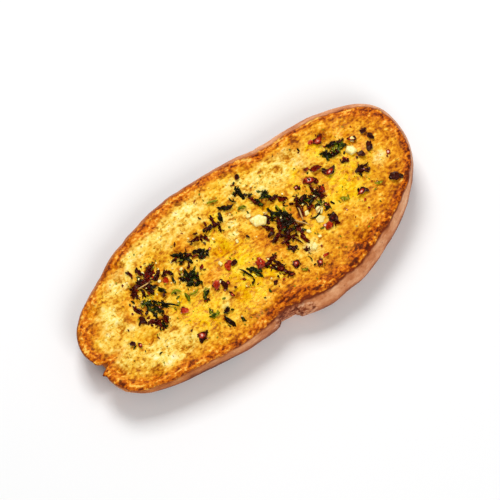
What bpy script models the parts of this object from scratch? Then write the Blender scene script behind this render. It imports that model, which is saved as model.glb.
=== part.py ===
"""A slice of garlic bread: baguette cut on the slant and toasted, its face strewn with parsley and chilli.

Metres, +Z up. The slice lies on its lower cut face, and +X runs along its length towards the thicker end.
The origin is the middle of the slice's box, on the surface it rests on.
"""

import math

import bmesh
import bpy
import numpy as np

MM = 0.001
DEG = math.pi / 180
SEED = 11

# The slice's upper cut face
HALF_LENGTH = 69.5 * MM
HALF_WIDTH = 29.5 * MM
OVAL_POWER = 2.4  # 2 is an ellipse, more is blunter at the ends
THICK_FAR = 18.0 * MM
THICK_NEAR = 13.0 * MM

# Where the outline swells or dips: direction in degrees, half-width in degrees, share of the radius
OUTLINE_SWELLS = (
    (-144, 10.6, 0.080),
    (-89, 8.6, -0.159),
    (-78, 10.0, 0.116),
    (-30, 17.4, -0.020),
    (24, 9.2, 0.030),
    (66, 11.0, -0.115),
    (99, 9.0, 0.049),
    (137, 7.8, -0.047),
    (170, 9.0, 0.021),
)
# The crease at the near end: a cleft, with a burnt tip of crust on its lower side
CLEFT = (-170.0, 1.9, -0.050)
CLEFT_TIP = (-166.0, 1.3, 0.016)

# The crust wall, from the upper cut face down
WALL_LEVELS = (0.05, 0.18, 0.36, 0.56, 0.76, 0.92, 1.0)  # share of the way down
WALL_BULGE = 2.3 * MM
BULGE_SKEW = 0.8  # below 1, the crust is widest above the middle of its height
BULGE_SWELLS = (  # direction and half-width in degrees, and how much more of the bulge there
    (-173, 8, -0.70),
    (-125, 16, -0.45),
    (-64, 9, 0.45),
    (-24, 12, -0.50),
    (35, 12, 0.75),
    (66, 12, 0.90),
)
WALL_LEAN_FAR = 0.8 * MM
WALL_LEAN_NEAR = 8.0 * MM
WALL_LEAN_SIDE = 0.3 * MM
WALL_ROUGH = 0.15 * MM
WALL_ROUGH_CELL = 6.0 * MM
WALL_ROUGH_STEEP = 1.5  # how much faster the roughness changes downwards than along the crust
FOOT_LEVEL = 0.8  # the foot's rounding starts this share of the way down
FOOT_ROUND = 1.3 * MM

# On the -Y side the crust fills the waist, and beyond the waist it is torn back
SIDE_FACING = (-0.7, -0.5)  # full where the crust's normal points this far to -Y, none at the second
SIDE_LEVEL = 0.3  # both forms are full from this share of the way down
SHOULDER_X = 3.0 * MM
SHOULDER_WIDTH = 10.0 * MM
SHOULDER_DEPTH = 3.0 * MM
TEAR_X = 1.5 * MM
TEAR_END_X = -8.3 * MM
TEAR_DEPTH = 1.9 * MM
TEAR_RAMP = 2.0 * MM
FLAP_SHARE = 0.75  # how much of the tear's depth the crust beyond its end makes good

# Relief of the toasted face
RIM_ROUND = 0.6 * MM
RIM_ROUND_WIDTH = 2.0 * MM
SUNKEN_MIDDLE = 1.1 * MM
SWELL_RELIEF = 0.9 * MM
SWELL_CELL = 17.0 * MM
CRAG_RELIEF = 0.8 * MM
CRAG_CELL = 5.2 * MM
CREASE_LENGTH = 15.0 * MM
CREASE_WIDTH = 1.6 * MM
CREASE_DEPTH = 1.3 * MM
PITS = 26  # the largest holes of the crumb
PIT_RADIUS = (1.5 * MM, 2.6 * MM)
PIT_STEEP = 0.6  # half-width of a pit as a share of its radius
PIT_DEPTH = 0.75  # share of the radius
PIT_SPREAD = (0.95, 0.9)  # pits keep within these shares of the half length and half width
PIT_CROWDING = 0.75  # below 1, more of the pits lie towards -X

# Mesh density of the cut face, and of the lattice of random heights under its relief
FACE_COLUMNS = 58
FACE_ROWS = 28
LATTICE = 64

# Toppings lie on the face and are sunk into it by this much
SUNK = 1.0 * MM

# Parsley: x, y and half length in mm, and heading in degrees of each leaf, from the middle of the face
LEAVES = (
    (-33, 13, 3.8, 30), (-37, 14, 2.6, 65), (-38, 11, 2.0, 10), (-43, 9, 2.0, 25), (-39, 7, 2.8, -72),
    (-45, 4, 2.0, 0), (-42, 1, 2.6, 30), (-42, -5, 2.5, -50), (-45, -3, 2.0, 20), (-38, 0, 2.8, -54),
    (-21, 9, 2.6, -32), (-15, 7, 2.7, -53), (-27, 3, 2.4, 30), (-23, 1, 2.8, -30), (-29, 8, 2.2, -82),
    (-23, -6, 2.3, 0), (-26, -14, 1.8, -50), (-21, -16, 1.6, 20), (-23, -20, 2.6, -76), (10, 17, 2.4, -60),
    (12, 11, 3.0, -77), (16, 11, 2.3, -50), (3, 15, 2.6, -25), (-4, 14, 2.2, 87), (-7, 13, 2.6, -10),
    (-14, 13, 2.8, -6), (-10, 11, 2.1, -72), (17, -1, 3.2, -40), (14, 4, 2.5, -30), (13, -1, 2.6, 20),
    (9, -7, 2.4, 30), (13, -9, 2.6, -30), (17, -9, 2.6, -75), (26, 1, 2.1, 40), (23, -2, 2.5, -60),
    (29, -2, 2.6, -30), (44, 8, 2.4, -20), (47, 10, 2.3, -10), (-4, -10, 3.0, -56), (3, -14, 3.8, -56),
    (5, -10, 2.0, 9), (38, -8, 1.5, -40), (51, -11, 1.6, -30),
)
LEAF_SIDES = 8
LEAF_NARROW = 0.6  # width as a share of the length
LEAF_NOTCH = 0.65  # every second corner stands in to this share
LEAF_RISE = 0.9 * MM
LEAF_CURL = 0.4 * MM

# Chilli: x, y and radius in mm of each flake
FLAKES = (
    (44, 15, 2.0), (54, 8, 2.0), (59, 8, 1.6), (60, 5, 1.6), (57, 2, 1.8), (53, 1, 1.6), (47, 3, 1.6),
    (49, -3, 1.6), (40, 3, 2.5), (37, 7, 2.3), (32, 5, 2.2), (33, -1, 2.0), (44, -10, 2.2), (57, -13, 2.3),
    (30, -12, 2.0), (27, -13, 1.7), (19, -21, 1.4), (16, -22, 1.5), (9, -17, 1.8), (-1, -9, 2.1),
    (-10, -2, 1.8), (-18, -6, 1.6), (-16, -8, 1.9), (-33, -6, 1.6), (-34, -18, 2.1), (-55, -5, 1.3),
    (-47, 0, 1.4), (13, 22, 1.3),
)
FLAKE_SIDES = 5
FLAKE_NARROW = 0.75
FLAKE_RISE = 0.7 * MM

# Garlic: x, y and radius in mm of each chopped bit, whose rise is a share of its radius
GARLIC = (
    (9, 5, 2.6), (7, 8, 1.2), (50, 4, 1.7), (27, -9, 1.5), (-12, 0, 1.2), (18, -16, 1.4), (-2, 4, 1.0),
    (-16, -6, 1.0), (54, 12, 1.1), (24, -5, 1.0), (20, -13, 1.0),
)
GARLIC_RISE = 0.5

UNEVEN = (0.85, 1.15)  # toppings' corners wander in and out between these shares

NODE = "garlic_bread_slice"


def bell(offset, width):
    """A bump of height 1 and the given half-width."""
    return np.exp(-0.5 * (offset / width) ** 2)


def ramp(value, start, end):
    """0 at the start and 1 at the end, held beyond both."""
    return np.clip((value - start) / (end - start), 0, 1)


def smooth_noise(x, y, cell, seed):
    """Even bumps from -1 to 1: random heights on a lattice of the cell's size, joined by smooth steps."""
    heights = np.random.default_rng(seed).uniform(-1, 1, (LATTICE, LATTICE))
    column, row = x / cell + LATTICE / 2, y / cell + LATTICE / 2
    left, low = np.floor(column).astype(int), np.floor(row).astype(int)
    u, v = column - left, row - low
    u, v = u * u * (3 - 2 * u), v * v * (3 - 2 * v)
    lower = heights[left, low] * (1 - u) + heights[left + 1, low] * u
    upper = heights[left, low + 1] * (1 - u) + heights[left + 1, low + 1] * u
    return lower * (1 - v) + upper * v


def with_swells(angle, swells):
    """1, plus a bump of each height in each direction."""
    share = np.ones_like(angle)
    for centre, width, height in swells:
        turn = (angle - centre * DEG + math.pi) % (2 * math.pi) - math.pi
        share += height * bell(turn, width * DEG)
    return share


def outline_radius(angle):
    """Radius of the outline in directions of the stretched face, where 1 is the plain oval's end."""
    power = np.abs(np.cos(angle)) ** OVAL_POWER + np.abs(np.sin(angle)) ** OVAL_POWER
    return power ** (-1 / OVAL_POWER) * with_swells(angle, (*OUTLINE_SWELLS, CLEFT, CLEFT_TIP))


def pit_depth(x, y):
    """Depth of the crumb's largest holes, shallow bowls at random places, more of them near -X."""
    rng = np.random.default_rng(SEED + 3)
    depth = np.zeros_like(x)
    for _ in range(PITS):
        centre_x = HALF_LENGTH * PIT_SPREAD[0] * (1 - 2 * rng.uniform() ** PIT_CROWDING)
        centre_y = HALF_WIDTH * rng.uniform(-PIT_SPREAD[1], PIT_SPREAD[1])
        radius = rng.uniform(*PIT_RADIUS)
        away = np.hypot(x - centre_x, y - centre_y)
        depth = np.maximum(depth, PIT_DEPTH * radius * bell(away, radius * PIT_STEEP))
    return depth


def face_height(x, y):
    """Height of the toasted face above the base: a slope with a sunken middle, a round rim and relief."""
    across, up = x / HALF_LENGTH, y / HALF_WIDTH
    angle = np.arctan2(up, across)
    radius = outline_radius(angle)
    reach = np.minimum(np.hypot(across, up) / radius, 1)
    inward = (1 - reach) * radius / np.hypot(np.cos(angle) / HALF_LENGTH, np.sin(angle) / HALF_WIDTH)
    plane = THICK_NEAR + (THICK_FAR - THICK_NEAR) * (across + 1) / 2
    rim = RIM_ROUND * (1 - ramp(inward, 0, RIM_ROUND_WIDTH)) ** 2
    middle = SUNKEN_MIDDLE * (1 - reach**2)
    relief = SWELL_RELIEF / 2 * smooth_noise(x, y, SWELL_CELL, SEED)
    relief += CRAG_RELIEF / 2 * smooth_noise(x, y, CRAG_CELL, SEED + 1)
    cleft_y = HALF_WIDTH * math.sin(CLEFT[0] * DEG)
    fade = ramp(x, CREASE_LENGTH - HALF_LENGTH, -HALF_LENGTH)
    crease = CREASE_DEPTH * bell(y - cleft_y, CREASE_WIDTH) * fade
    return plane - rim - middle + relief - crease - pit_depth(x, y)


def wall_offset(x, y, outward, level, height):
    """How far the crust at this level stands from the face's outline, as x and y steps."""
    lean_x = WALL_LEAN_FAR + (WALL_LEAN_NEAR - WALL_LEAN_FAR) * ramp(x, 0, -HALF_LENGTH)
    down = height * level * WALL_ROUGH_STEEP
    rough = WALL_ROUGH * smooth_noise(x + y, down, WALL_ROUGH_CELL, SEED + 2)
    swell = with_swells(np.arctan2(y / HALF_WIDTH, x / HALF_LENGTH), BULGE_SWELLS)
    bulge = (WALL_BULGE * swell + rough) * math.sin(math.pi * level**BULGE_SKEW)
    shoulder = SHOULDER_DEPTH * bell(x - SHOULDER_X, SHOULDER_WIDTH)
    torn = TEAR_DEPTH * ramp(x, TEAR_X, TEAR_X - TEAR_RAMP)
    torn *= 1 - FLAP_SHARE * ramp(x, TEAR_END_X, TEAR_END_X - TEAR_RAMP)
    side = (y < 0) * ramp(outward[:, 1], SIDE_FACING[1], SIDE_FACING[0])
    bulge += side * (shoulder - torn) * ramp(level, 0, SIDE_LEVEL)
    bulge -= FOOT_ROUND * ramp(level, FOOT_LEVEL, 1) ** 2
    return outward * bulge[:, None] + level * np.column_stack((lean_x, np.full(len(x), WALL_LEAN_SIDE)))


def outward_of(loop):
    """Unit normals of a closed loop of points that runs anticlockwise."""
    along = np.roll(loop, -1, axis=0) - np.roll(loop, 1, axis=0)
    outward = np.column_stack((along[:, 1], -along[:, 0]))
    return outward / np.linalg.norm(outward, axis=1)[:, None]


def points_of(mesh):
    """The places of a mesh's vertices, one row each."""
    places = np.empty(len(mesh.vertices) * 3)
    mesh.vertices.foreach_get("co", places)
    return places.reshape(-1, 3)


def next_ring(form, ring):
    """Extrudes a closed ring of vertices, and returns the new vertices in the same order."""
    edges = [form.edges.get(pair) for pair in zip(ring, ring[1:] + ring[:1])]
    made = bmesh.ops.extrude_edge_only(form, edges=edges)["geom"]
    new = {v for v in made if isinstance(v, bmesh.types.BMVert)}
    return [next(e.other_vert(v) for e in v.link_edges if e.other_vert(v) in new) for v in ring]


def bread_body():
    """The slice without toppings: a grid bent to the cut face, a wall extruded ring by ring, a flat base."""
    bpy.ops.mesh.primitive_grid_add(x_subdivisions=FACE_COLUMNS, y_subdivisions=FACE_ROWS, size=2)
    bread = bpy.context.object
    bread.name = bread.data.name = NODE
    p, q, _ = points_of(bread.data).T
    disc_x, disc_y = p * np.sqrt(1 - q * q / 2), q * np.sqrt(1 - p * p / 2)
    radius = outline_radius(np.arctan2(disc_y, disc_x))
    x, y = HALF_LENGTH * disc_x * radius, HALF_WIDTH * disc_y * radius
    bread.data.vertices.foreach_set("co", np.column_stack((x, y, face_height(x, y))).ravel())

    form = bmesh.new()
    form.from_mesh(bread.data)
    rim = (v for v in form.verts if v.is_boundary)
    ring = sorted(rim, key=lambda v: math.atan2(v.co.y / HALF_WIDTH, v.co.x / HALF_LENGTH))
    outline = np.array([v.co[:2] for v in ring])
    height = np.array([v.co.z for v in ring])
    outward = outward_of(outline)
    for level in WALL_LEVELS:
        ring = next_ring(form, ring)
        step = wall_offset(*outline.T, outward, level, height)
        for v, place, z in zip(ring, outline + step, height * (1 - level)):
            v.co = (*place, z)
    form.faces.new(ring)
    bmesh.ops.recalc_face_normals(form, faces=form.faces)
    bmesh.ops.triangulate(form, faces=form.faces)
    form.to_mesh(bread.data)
    form.free()
    return bread


def lay_on_face(piece, x, y, heading):
    """Turns a topping by its heading, moves it to its place, and bends it along the face below it."""
    local_x, local_y, local_z = points_of(piece.data).T
    c, s = math.cos(heading), math.sin(heading)
    along, aside = x + c * local_x - s * local_y, y + s * local_x + c * local_y
    places = np.column_stack((along, aside, face_height(along, aside) + local_z))
    piece.data.vertices.foreach_set("co", places.ravel())
    return piece


def flat_bit(sides, length, narrow, rise, notch, rng):
    """A flat bit: a short cylinder with uneven corners, every second one set in."""
    bpy.ops.mesh.primitive_cylinder_add(vertices=sides, radius=1, depth=1, end_fill_type="TRIFAN")
    piece = bpy.context.object
    x, y, z = points_of(piece.data).T
    corner = np.round(np.arctan2(y, x) / (2 * math.pi) * sides).astype(int) % sides
    share = rng.uniform(*UNEVEN, sides) * np.where(np.arange(sides) % 2, notch, 1)
    top = rise + LEAF_CURL * rng.uniform(-0.5, 0.5, sides)[corner] * np.hypot(x, y)
    places = (x * share[corner] * length, y * share[corner] * length * narrow, np.where(z > 0, top, -SUNK))
    piece.data.vertices.foreach_set("co", np.column_stack(places).ravel())
    return piece


def garlic_bit(radius, rng):
    """A chopped, rounded bit: an uneven low ball, from SUNK deep to its rise."""
    bpy.ops.mesh.primitive_ico_sphere_add(subdivisions=1, radius=1)
    piece = bpy.context.object
    places = points_of(piece.data) * rng.uniform(*UNEVEN, (len(piece.data.vertices), 1))
    places[:, :2] *= radius
    places[:, 2] *= np.where(places[:, 2] > 0, GARLIC_RISE * radius, SUNK)
    piece.data.vertices.foreach_set("co", places.ravel())
    return piece


def lay_toppings(rng):
    """Every leaf, flake and bit of garlic, laid at its place."""
    laid = []
    for x, y, length, heading in LEAVES:
        leaf = flat_bit(LEAF_SIDES, length * MM, LEAF_NARROW, LEAF_RISE, LEAF_NOTCH, rng)
        laid.append(lay_on_face(leaf, x * MM, y * MM, heading * DEG))
    for x, y, radius in FLAKES:
        flake = flat_bit(FLAKE_SIDES, radius * MM, FLAKE_NARROW, FLAKE_RISE, 1, rng)
        laid.append(lay_on_face(flake, x * MM, y * MM, rng.uniform(0, 2 * math.pi)))
    for x, y, radius in GARLIC:
        laid.append(lay_on_face(garlic_bit(radius * MM, rng), x * MM, y * MM, rng.uniform(0, 2 * math.pi)))
    return laid


def fuse(bread, toppings):
    """Joins every topping to the bread, so that the slice is one solid."""
    group = bpy.data.collections.new("toppings")
    bpy.context.scene.collection.children.link(group)
    for piece in toppings:
        for home in list(piece.users_collection):
            home.objects.unlink(piece)
        group.objects.link(piece)
    join = bread.modifiers.new("fuse", "BOOLEAN")
    join.operation = "UNION"
    join.operand_type = "COLLECTION"
    join.collection = group
    join.solver = "EXACT"
    bpy.context.view_layer.objects.active = bread
    bpy.ops.object.modifier_apply(modifier=join.name)
    for piece in toppings:
        bpy.data.objects.remove(piece)
    bpy.data.collections.remove(group)


def centre_on_origin(bread):
    """Moves the mesh so that the middle of its box is over the origin and its base is at height 0."""
    places = points_of(bread.data)
    low, high = places.min(axis=0), places.max(axis=0)
    places -= ((low[0] + high[0]) / 2, (low[1] + high[1]) / 2, low[2])
    bread.data.vertices.foreach_set("co", places.ravel())
    bread.data.update()


def toasted_crumb():
    """Golden, butter-soaked bread."""
    material = bpy.data.materials.new("toasted_bread")
    material.use_nodes = True
    surface = material.node_tree.nodes["Principled BSDF"]
    surface.inputs["Base Color"].default_value = (0.79, 0.46, 0.10, 1)
    surface.inputs["Roughness"].default_value = 0.6
    surface.inputs["Metallic"].default_value = 0.0
    return material


def main():
    for old in list(bpy.data.objects):
        bpy.data.objects.remove(old)
    bread = bread_body()
    fuse(bread, lay_toppings(np.random.default_rng(SEED)))
    centre_on_origin(bread)
    bread.data.materials.clear()
    bread.data.materials.append(toasted_crumb())
    bread.data.shade_smooth()
    bread.data.set_sharp_from_angle(angle=50 * DEG)
    home = bpy.data.collections.new("garlic_bread")
    bpy.context.scene.collection.children.link(home)
    for old in list(bread.users_collection):
        old.objects.unlink(bread)
    home.objects.link(bread)


main()
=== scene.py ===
# %% [markdown]
# # One slice of garlic bread
# A baguette was cut on the slant, buttered, strewn with parsley, garlic and chilli, and toasted.
# The imported model already fixes the slice's size and main forms. This script gives it its looks:
# a finely pored crumb, a browned rim, a smooth crust, and the loose toppings at their true size.
# It starts by loading that model, and keeps its box, at which the camera and lamps are aimed.
# All lengths below are in metres or, where the name ends in MM or a comment says so, in millimetres.

# %% Load the frame
import math

import bpy
import numpy as np
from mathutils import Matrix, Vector


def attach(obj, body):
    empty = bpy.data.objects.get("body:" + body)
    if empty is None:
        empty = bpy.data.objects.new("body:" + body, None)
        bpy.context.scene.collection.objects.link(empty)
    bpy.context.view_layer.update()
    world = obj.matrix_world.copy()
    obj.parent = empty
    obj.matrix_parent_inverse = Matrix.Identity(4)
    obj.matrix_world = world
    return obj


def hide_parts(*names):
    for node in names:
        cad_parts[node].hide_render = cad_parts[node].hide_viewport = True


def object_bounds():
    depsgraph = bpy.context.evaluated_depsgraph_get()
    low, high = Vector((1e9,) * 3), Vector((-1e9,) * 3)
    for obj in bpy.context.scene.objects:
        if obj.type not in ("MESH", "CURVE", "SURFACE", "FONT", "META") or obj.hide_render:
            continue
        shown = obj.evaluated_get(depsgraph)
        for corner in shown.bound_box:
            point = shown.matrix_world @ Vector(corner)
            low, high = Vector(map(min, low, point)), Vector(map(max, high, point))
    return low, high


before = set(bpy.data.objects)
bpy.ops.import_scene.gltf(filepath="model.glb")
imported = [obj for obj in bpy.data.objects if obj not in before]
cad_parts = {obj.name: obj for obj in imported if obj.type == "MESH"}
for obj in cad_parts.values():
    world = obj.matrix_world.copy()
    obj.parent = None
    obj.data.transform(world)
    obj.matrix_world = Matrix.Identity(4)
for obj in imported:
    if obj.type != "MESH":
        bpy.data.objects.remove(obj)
cad_low, cad_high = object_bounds()
MM = 0.001
DEG = math.pi / 180
NODE = "garlic_bread_slice"
print("model box in mm:", [round(v / MM, 1) for v in (*cad_low, *cad_high)])

# %% [markdown]
# ## Camera
# The photograph looks down on the slice from a long way off, with its long side running from the
# lower left to the upper right. An orthographic camera would show it as flat, but a long lens is
# what took the picture, and keeps the slight narrowing. The direction is given by two angles, and
# the distance follows from how much of the picture the slice should take.

# %% Camera at the photograph's angle
LOOK_AZIMUTH = -38.1 * DEG
LOOK_ELEVATION = 66.5 * DEG
LENS_MM = 400
PICTURE_WIDTH = 178 * MM  # what the picture is wide, at the slice

look_back = Vector((
    math.sin(LOOK_AZIMUTH) * math.cos(LOOK_ELEVATION),
    -math.cos(LOOK_AZIMUTH) * math.cos(LOOK_ELEVATION),
    math.sin(LOOK_ELEVATION),
))
camera = bpy.data.objects.new("camera", bpy.data.cameras.new("camera"))
bpy.context.scene.collection.objects.link(camera)
camera.data.lens = LENS_MM
look_at = (cad_low + cad_high) / 2
camera.location = look_at + look_back * (PICTURE_WIDTH * LENS_MM / camera.data.sensor_width)
camera.rotation_euler = (-look_back).to_track_quat("-Z", "Y").to_euler()
bpy.context.scene.camera = camera
print("camera stands", round((camera.location - look_at).length, 2), "m away")

# %% [markdown]
# ## The outline of the cut face
# A slanted cut through a baguette is a long blunt oval, a little swollen here and dented there,
# with one cleft where the crust opened. It could be drawn as a curve by hand. As a function of
# direction it can be asked for at any density: a superellipse gives the oval, and bumps by
# direction give the swells.

# %% Outline as a function of direction
HALF_LENGTH = 69.5 * MM
HALF_WIDTH = 29.5 * MM
OVAL_POWER = 2.4
OUTLINE_SWELLS = (  # direction in degrees, half-width in degrees, share of the radius
    (-144, 10.6, 0.080),
    (-89, 8.6, -0.159),
    (-78, 10.0, 0.116),
    (-30, 17.4, -0.020),
    (24, 9.2, 0.030),
    (66, 11.0, -0.115),
    (99, 9.0, 0.049),
    (137, 7.8, -0.047),
    (170, 9.0, 0.021),
)
CLEFT = (-170.0, 1.9, -0.050)
CLEFT_TIP = (-166.0, 1.3, 0.016)  # the lip beside the cleft stands out a little


def bell(offset, width):
    """A bump of height 1: e to the power of minus half the squared offset over the width."""
    return np.exp(-0.5 * (offset / width) ** 2)


def turn_from(angle, centre_deg):
    """The angle between two directions, from minus half a turn to half a turn."""
    return (angle - centre_deg * DEG + math.pi) % (2 * math.pi) - math.pi


def by_direction(angle, base, bumps):
    """A value that depends on direction: the base, plus a bell of each height at each direction."""
    value = np.full_like(angle, base)
    for centre, width, height in bumps:
        value += height * bell(turn_from(angle, centre), width * DEG)
    return value


def outline_radius(angle):
    """The oval's radius in a direction, (|cos|^p + |sin|^p)^(-1/p), times one plus its swells."""
    power = np.abs(np.cos(angle)) ** OVAL_POWER + np.abs(np.sin(angle)) ** OVAL_POWER
    return power ** (-1 / OVAL_POWER) * by_direction(angle, 1.0, (*OUTLINE_SWELLS, CLEFT, CLEFT_TIP))


def rim_gap(reach, angle):
    """Distance in from the outline: what is left of the reach, over how fast reach grows there."""
    growth = np.hypot(np.cos(angle) / HALF_LENGTH, np.sin(angle) / HALF_WIDTH)
    return (1 - reach) * outline_radius(angle) / growth


directions = np.linspace(-math.pi, math.pi, 721)
print("outline radius from", round(outline_radius(directions).min(), 3), "to",
      round(outline_radius(directions).max(), 3))

# %% [markdown]
# ## Noise and pores
# Bread has relief of every size: broad swells from the oven, crags of a few millimetres, and
# pores down to a tenth of that. A noise texture could displace the mesh, but here the same
# numbers also have to colour it, so they are worked out first, for all points at once. Swells
# and crags are smooth noise, random heights on a lattice joined by soft steps. Pores are bowls,
# one in most cells of a lattice, each pushed off its cell's middle at random.

# %% Smooth noise and bowls
SMALL_LATTICE, LARGE_LATTICE = 64, 400  # points along each side


def smooth_noise(x, y, cell, seed, lattice=SMALL_LATTICE):
    """Bumps from -1 to 1: random heights on a lattice, blended by 3t^2 - 2t^3 across each cell."""
    heights = np.random.default_rng(seed).uniform(-1, 1, (lattice, lattice))
    column, row = x / cell + lattice / 2, y / cell + lattice / 2
    left, low = np.floor(column).astype(int), np.floor(row).astype(int)
    u, v = column - left, row - low
    u, v = u * u * (3 - 2 * u), v * v * (3 - 2 * v)
    left, low = left % (lattice - 1), low % (lattice - 1)
    lower = heights[left, low] * (1 - u) + heights[left + 1, low] * u
    upper = heights[left, low + 1] * (1 - u) + heights[left + 1, low + 1] * u
    return lower * (1 - v) + upper * v


def turned_noise(x, y, cell, seed):
    """Smooth noise on a lattice turned by the seed, so that layers of it share no direction."""
    c, s = math.cos(seed), math.sin(seed)
    return smooth_noise(c * x - s * y, s * x + c * y, cell, seed, LARGE_LATTICE)


def bowls(x, y, cell, radius, share, seed):
    """Depth from 0 to 1 of bowls 1 - (d/r)^2, the deepest of those in the 9 nearest cells."""
    rng = np.random.default_rng(seed)
    lattice = (LARGE_LATTICE, LARGE_LATTICE)
    off_x, off_y = rng.uniform(0.1, 0.9, (2, *lattice))
    size = rng.uniform(*radius, lattice) * (rng.uniform(size=lattice) < share)
    stretch = rng.uniform(0.7, 1.35, lattice)
    c, s = math.cos(seed), math.sin(seed)
    across = (c * x - s * y) / cell + LARGE_LATTICE / 2
    up = (s * x + c * y) / cell + LARGE_LATTICE / 2
    column, row = np.floor(across).astype(int), np.floor(up).astype(int)
    depth = np.zeros_like(x)
    for side in (-1, 0, 1):
        for above in (-1, 0, 1):
            i, j = column + side, row + above
            wide = size[i, j] / cell + 1e-9
            far = np.hypot((i + off_x[i, j] - across) * stretch[i, j],
                           (j + off_y[i, j] - up) / stretch[i, j])
            bowl = np.clip(1 - (far / wide) ** 2, 0, 1)
            depth = np.maximum(depth, bowl * wide / (max(radius) / cell))
    return depth


noise_line = smooth_noise(np.linspace(0, 60 * MM, 600), np.zeros(600), 5 * MM, 1)
print("5 mm noise along a line runs from", noise_line.min().round(2), "to", noise_line.max().round(2))

# %% [markdown]
# ## Height of the toasted face
# The slice is thicker at its far end, sunk a little in the middle and rounded at the rim. It could
# be sculpted, but as a sum of named terms it matches the model's own broad relief. To that it adds
# the fine crumb: three sizes of pore and three of noise. The depth of the pores is kept as well,
# because it darkens them: partly butter that gathers in them and colours them, partly painted
# shade in the hollows.

# %% The face's height, broad and fine
THICK_FAR = 18.0 * MM
THICK_NEAR = 13.0 * MM
RIM_ROUND = 0.6 * MM
RIM_ROUND_WIDTH = 2.0 * MM
SUNKEN_MIDDLE = 1.1 * MM
SWELL_RELIEF = 0.9 * MM
SWELL_CELL = 17.0 * MM
CRAG_RELIEF = 0.8 * MM
CRAG_CELL = 5.2 * MM
PITS = 26
PIT_RADIUS = (1.5 * MM, 2.6 * MM)
PIT_DEPTH = 0.75
CREASE_LENGTH = 15.0 * MM
CREASE_WIDTH = 1.6 * MM
CREASE_DEPTH = 1.3 * MM
# a pore's darkening is partly butter and partly painted shade in its hollow
PORES_MM = (  # cell, least and largest radius, share of cells, depth, and how much it darkens
    (4.6, 0.6, 2.1, 0.4, 0.75, 0.9), (2.3, 0.4, 1.2, 0.55, 0.5, 0.6), (1.2, 0.25, 0.62, 0.7, 0.24, 0.4),
)
GRIT_MM = ((2.6, 0.26), (1.3, 0.17), (0.75, 0.1))  # cell and height of the noise between the pores
SEED = 11


def pit_depth(x, y):
    """The largest holes: bells as deep as a share of their radius, more of them at the near end."""
    rng = np.random.default_rng(SEED + 3)
    depth = np.zeros_like(x)
    for _ in range(PITS):
        centre_x = HALF_LENGTH * (0.95 - 1.9 * rng.uniform() ** 0.75)
        centre_y = HALF_WIDTH * rng.uniform(-0.9, 0.9)
        radius = rng.uniform(*PIT_RADIUS)
        far = np.hypot(x - centre_x, y - centre_y)
        depth = np.maximum(depth, PIT_DEPTH * radius * bell(far, radius * 0.6))
    return depth


def broad_height(x, y, reach, angle):
    """A sloping plane, less the rim's rounding and the sunken middle, plus swells and crags."""
    along = (x / HALF_LENGTH + 1) / 2
    plane = THICK_NEAR + (THICK_FAR - THICK_NEAR) * along
    rim = RIM_ROUND * np.clip(1 - rim_gap(reach, angle) / RIM_ROUND_WIDTH, 0, 1) ** 2
    middle = SUNKEN_MIDDLE * np.clip(1 - reach**2, 0, 1)
    relief = SWELL_RELIEF / 2 * smooth_noise(x, y, SWELL_CELL, SEED)
    relief += CRAG_RELIEF / 2 * smooth_noise(x, y, CRAG_CELL, SEED + 1)
    cleft_y = HALF_WIDTH * math.sin(CLEFT[0] * DEG)
    fade = np.clip((-x - HALF_LENGTH + CREASE_LENGTH) / CREASE_LENGTH, 0, 1)
    crease = CREASE_DEPTH * bell(y - cleft_y, CREASE_WIDTH) * fade
    return plane - rim - middle + relief - crease


def crumb_relief(x, y, seed):
    """Fine relief of the crumb, noise less every size of bowl, and the pores' share, for painted shade and
    butter.
    """
    relief, pore_shade = np.zeros_like(x), np.zeros_like(x)
    for number, (cell, least, largest, share, deep, dark) in enumerate(PORES_MM):
        bowl = bowls(x, y, cell * MM, (least * MM, largest * MM), share, seed + number)
        relief -= deep * bowl
        pore_shade += dark * bowl
    for number, (cell, tall) in enumerate(GRIT_MM):
        relief += tall * turned_noise(x, y, cell * MM, seed + len(PORES_MM) + number)
    return relief * MM, np.clip(pore_shade, 0, 1.2)


print("plane of the face from", THICK_NEAR / MM, "to", THICK_FAR / MM, "mm, with", PITS, "large pits")

# %% [markdown]
# ## Where it browned, and where the butter sank in
# Heat reaches the rim first, and more of it on one side. Butter sinks in unevenly, and some of the
# crumb stays pale. All this could be painted on by hand, but as formulas it follows the outline:
# browning is a share that falls off with the distance from the rim, over a width that depends on
# direction, and butter, pale crumb and toasted crumb are soft patches. The shares are stored on
# the points as attributes, which the material then reads.

# %% Browning and butter as fields on the face
BROWN_WIDTH = 2.6  # mm, with wider stretches by direction: centre, half-width, how much wider
BROWN_WIDER = (
    (2, 18, 3.0), (30, 14, 1.6), (52, 8, -0.8), (104, 16, 3.4), (134, 12, -2.0), (165, 14, 3.4),
    (-178, 12, 2.6), (-137, 11, 3.2), (-60, 14, 4.0), (-40, 10, 1.5), (-88, 10, 2.2),
)
WARM_WIDTH = 6.0  # mm of golden crumb inside the brown rim, with its wider stretches
WARM_WIDER = ((5, 40, 9.0), (-55, 30, 11.0), (34, 12, 3.5), (68, 12, -3.5), (172, 20, 6.0), (-105, 20, 4.0))
BURNT_LEAST = 0.06
BURNT_RIM = (  # how much more the rim is burnt: centre and half-width in degrees, share
    (-58, 26, 1.0), (-12, 20, 0.7), (8, 12, 0.4), (35, 24, 0.2), (100, 22, 0.25), (165, 20, 0.4),
    (-175, 12, 0.5), (-148, 14, 0.7), (-90, 16, 0.9),
)
PINK_CRUST = (  # where the crust stayed pale: centre and half-width in degrees, share
    (-60, 30, 0.9), (-98, 14, 0.4), (-15, 22, 0.8), (25, 24, 0.8), (60, 20, 0.6),
)
TOAST_WRAP = 0.2  # mm of the crust below the rim that is toasted like the face, with wider stretches
TOAST_WRAPS = ((-60, 30, 0.15), (-118, 16, 1.1), (-90, 8, 1.2), (-15, 14, 0.3), (66, 14, 0.5))
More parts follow.
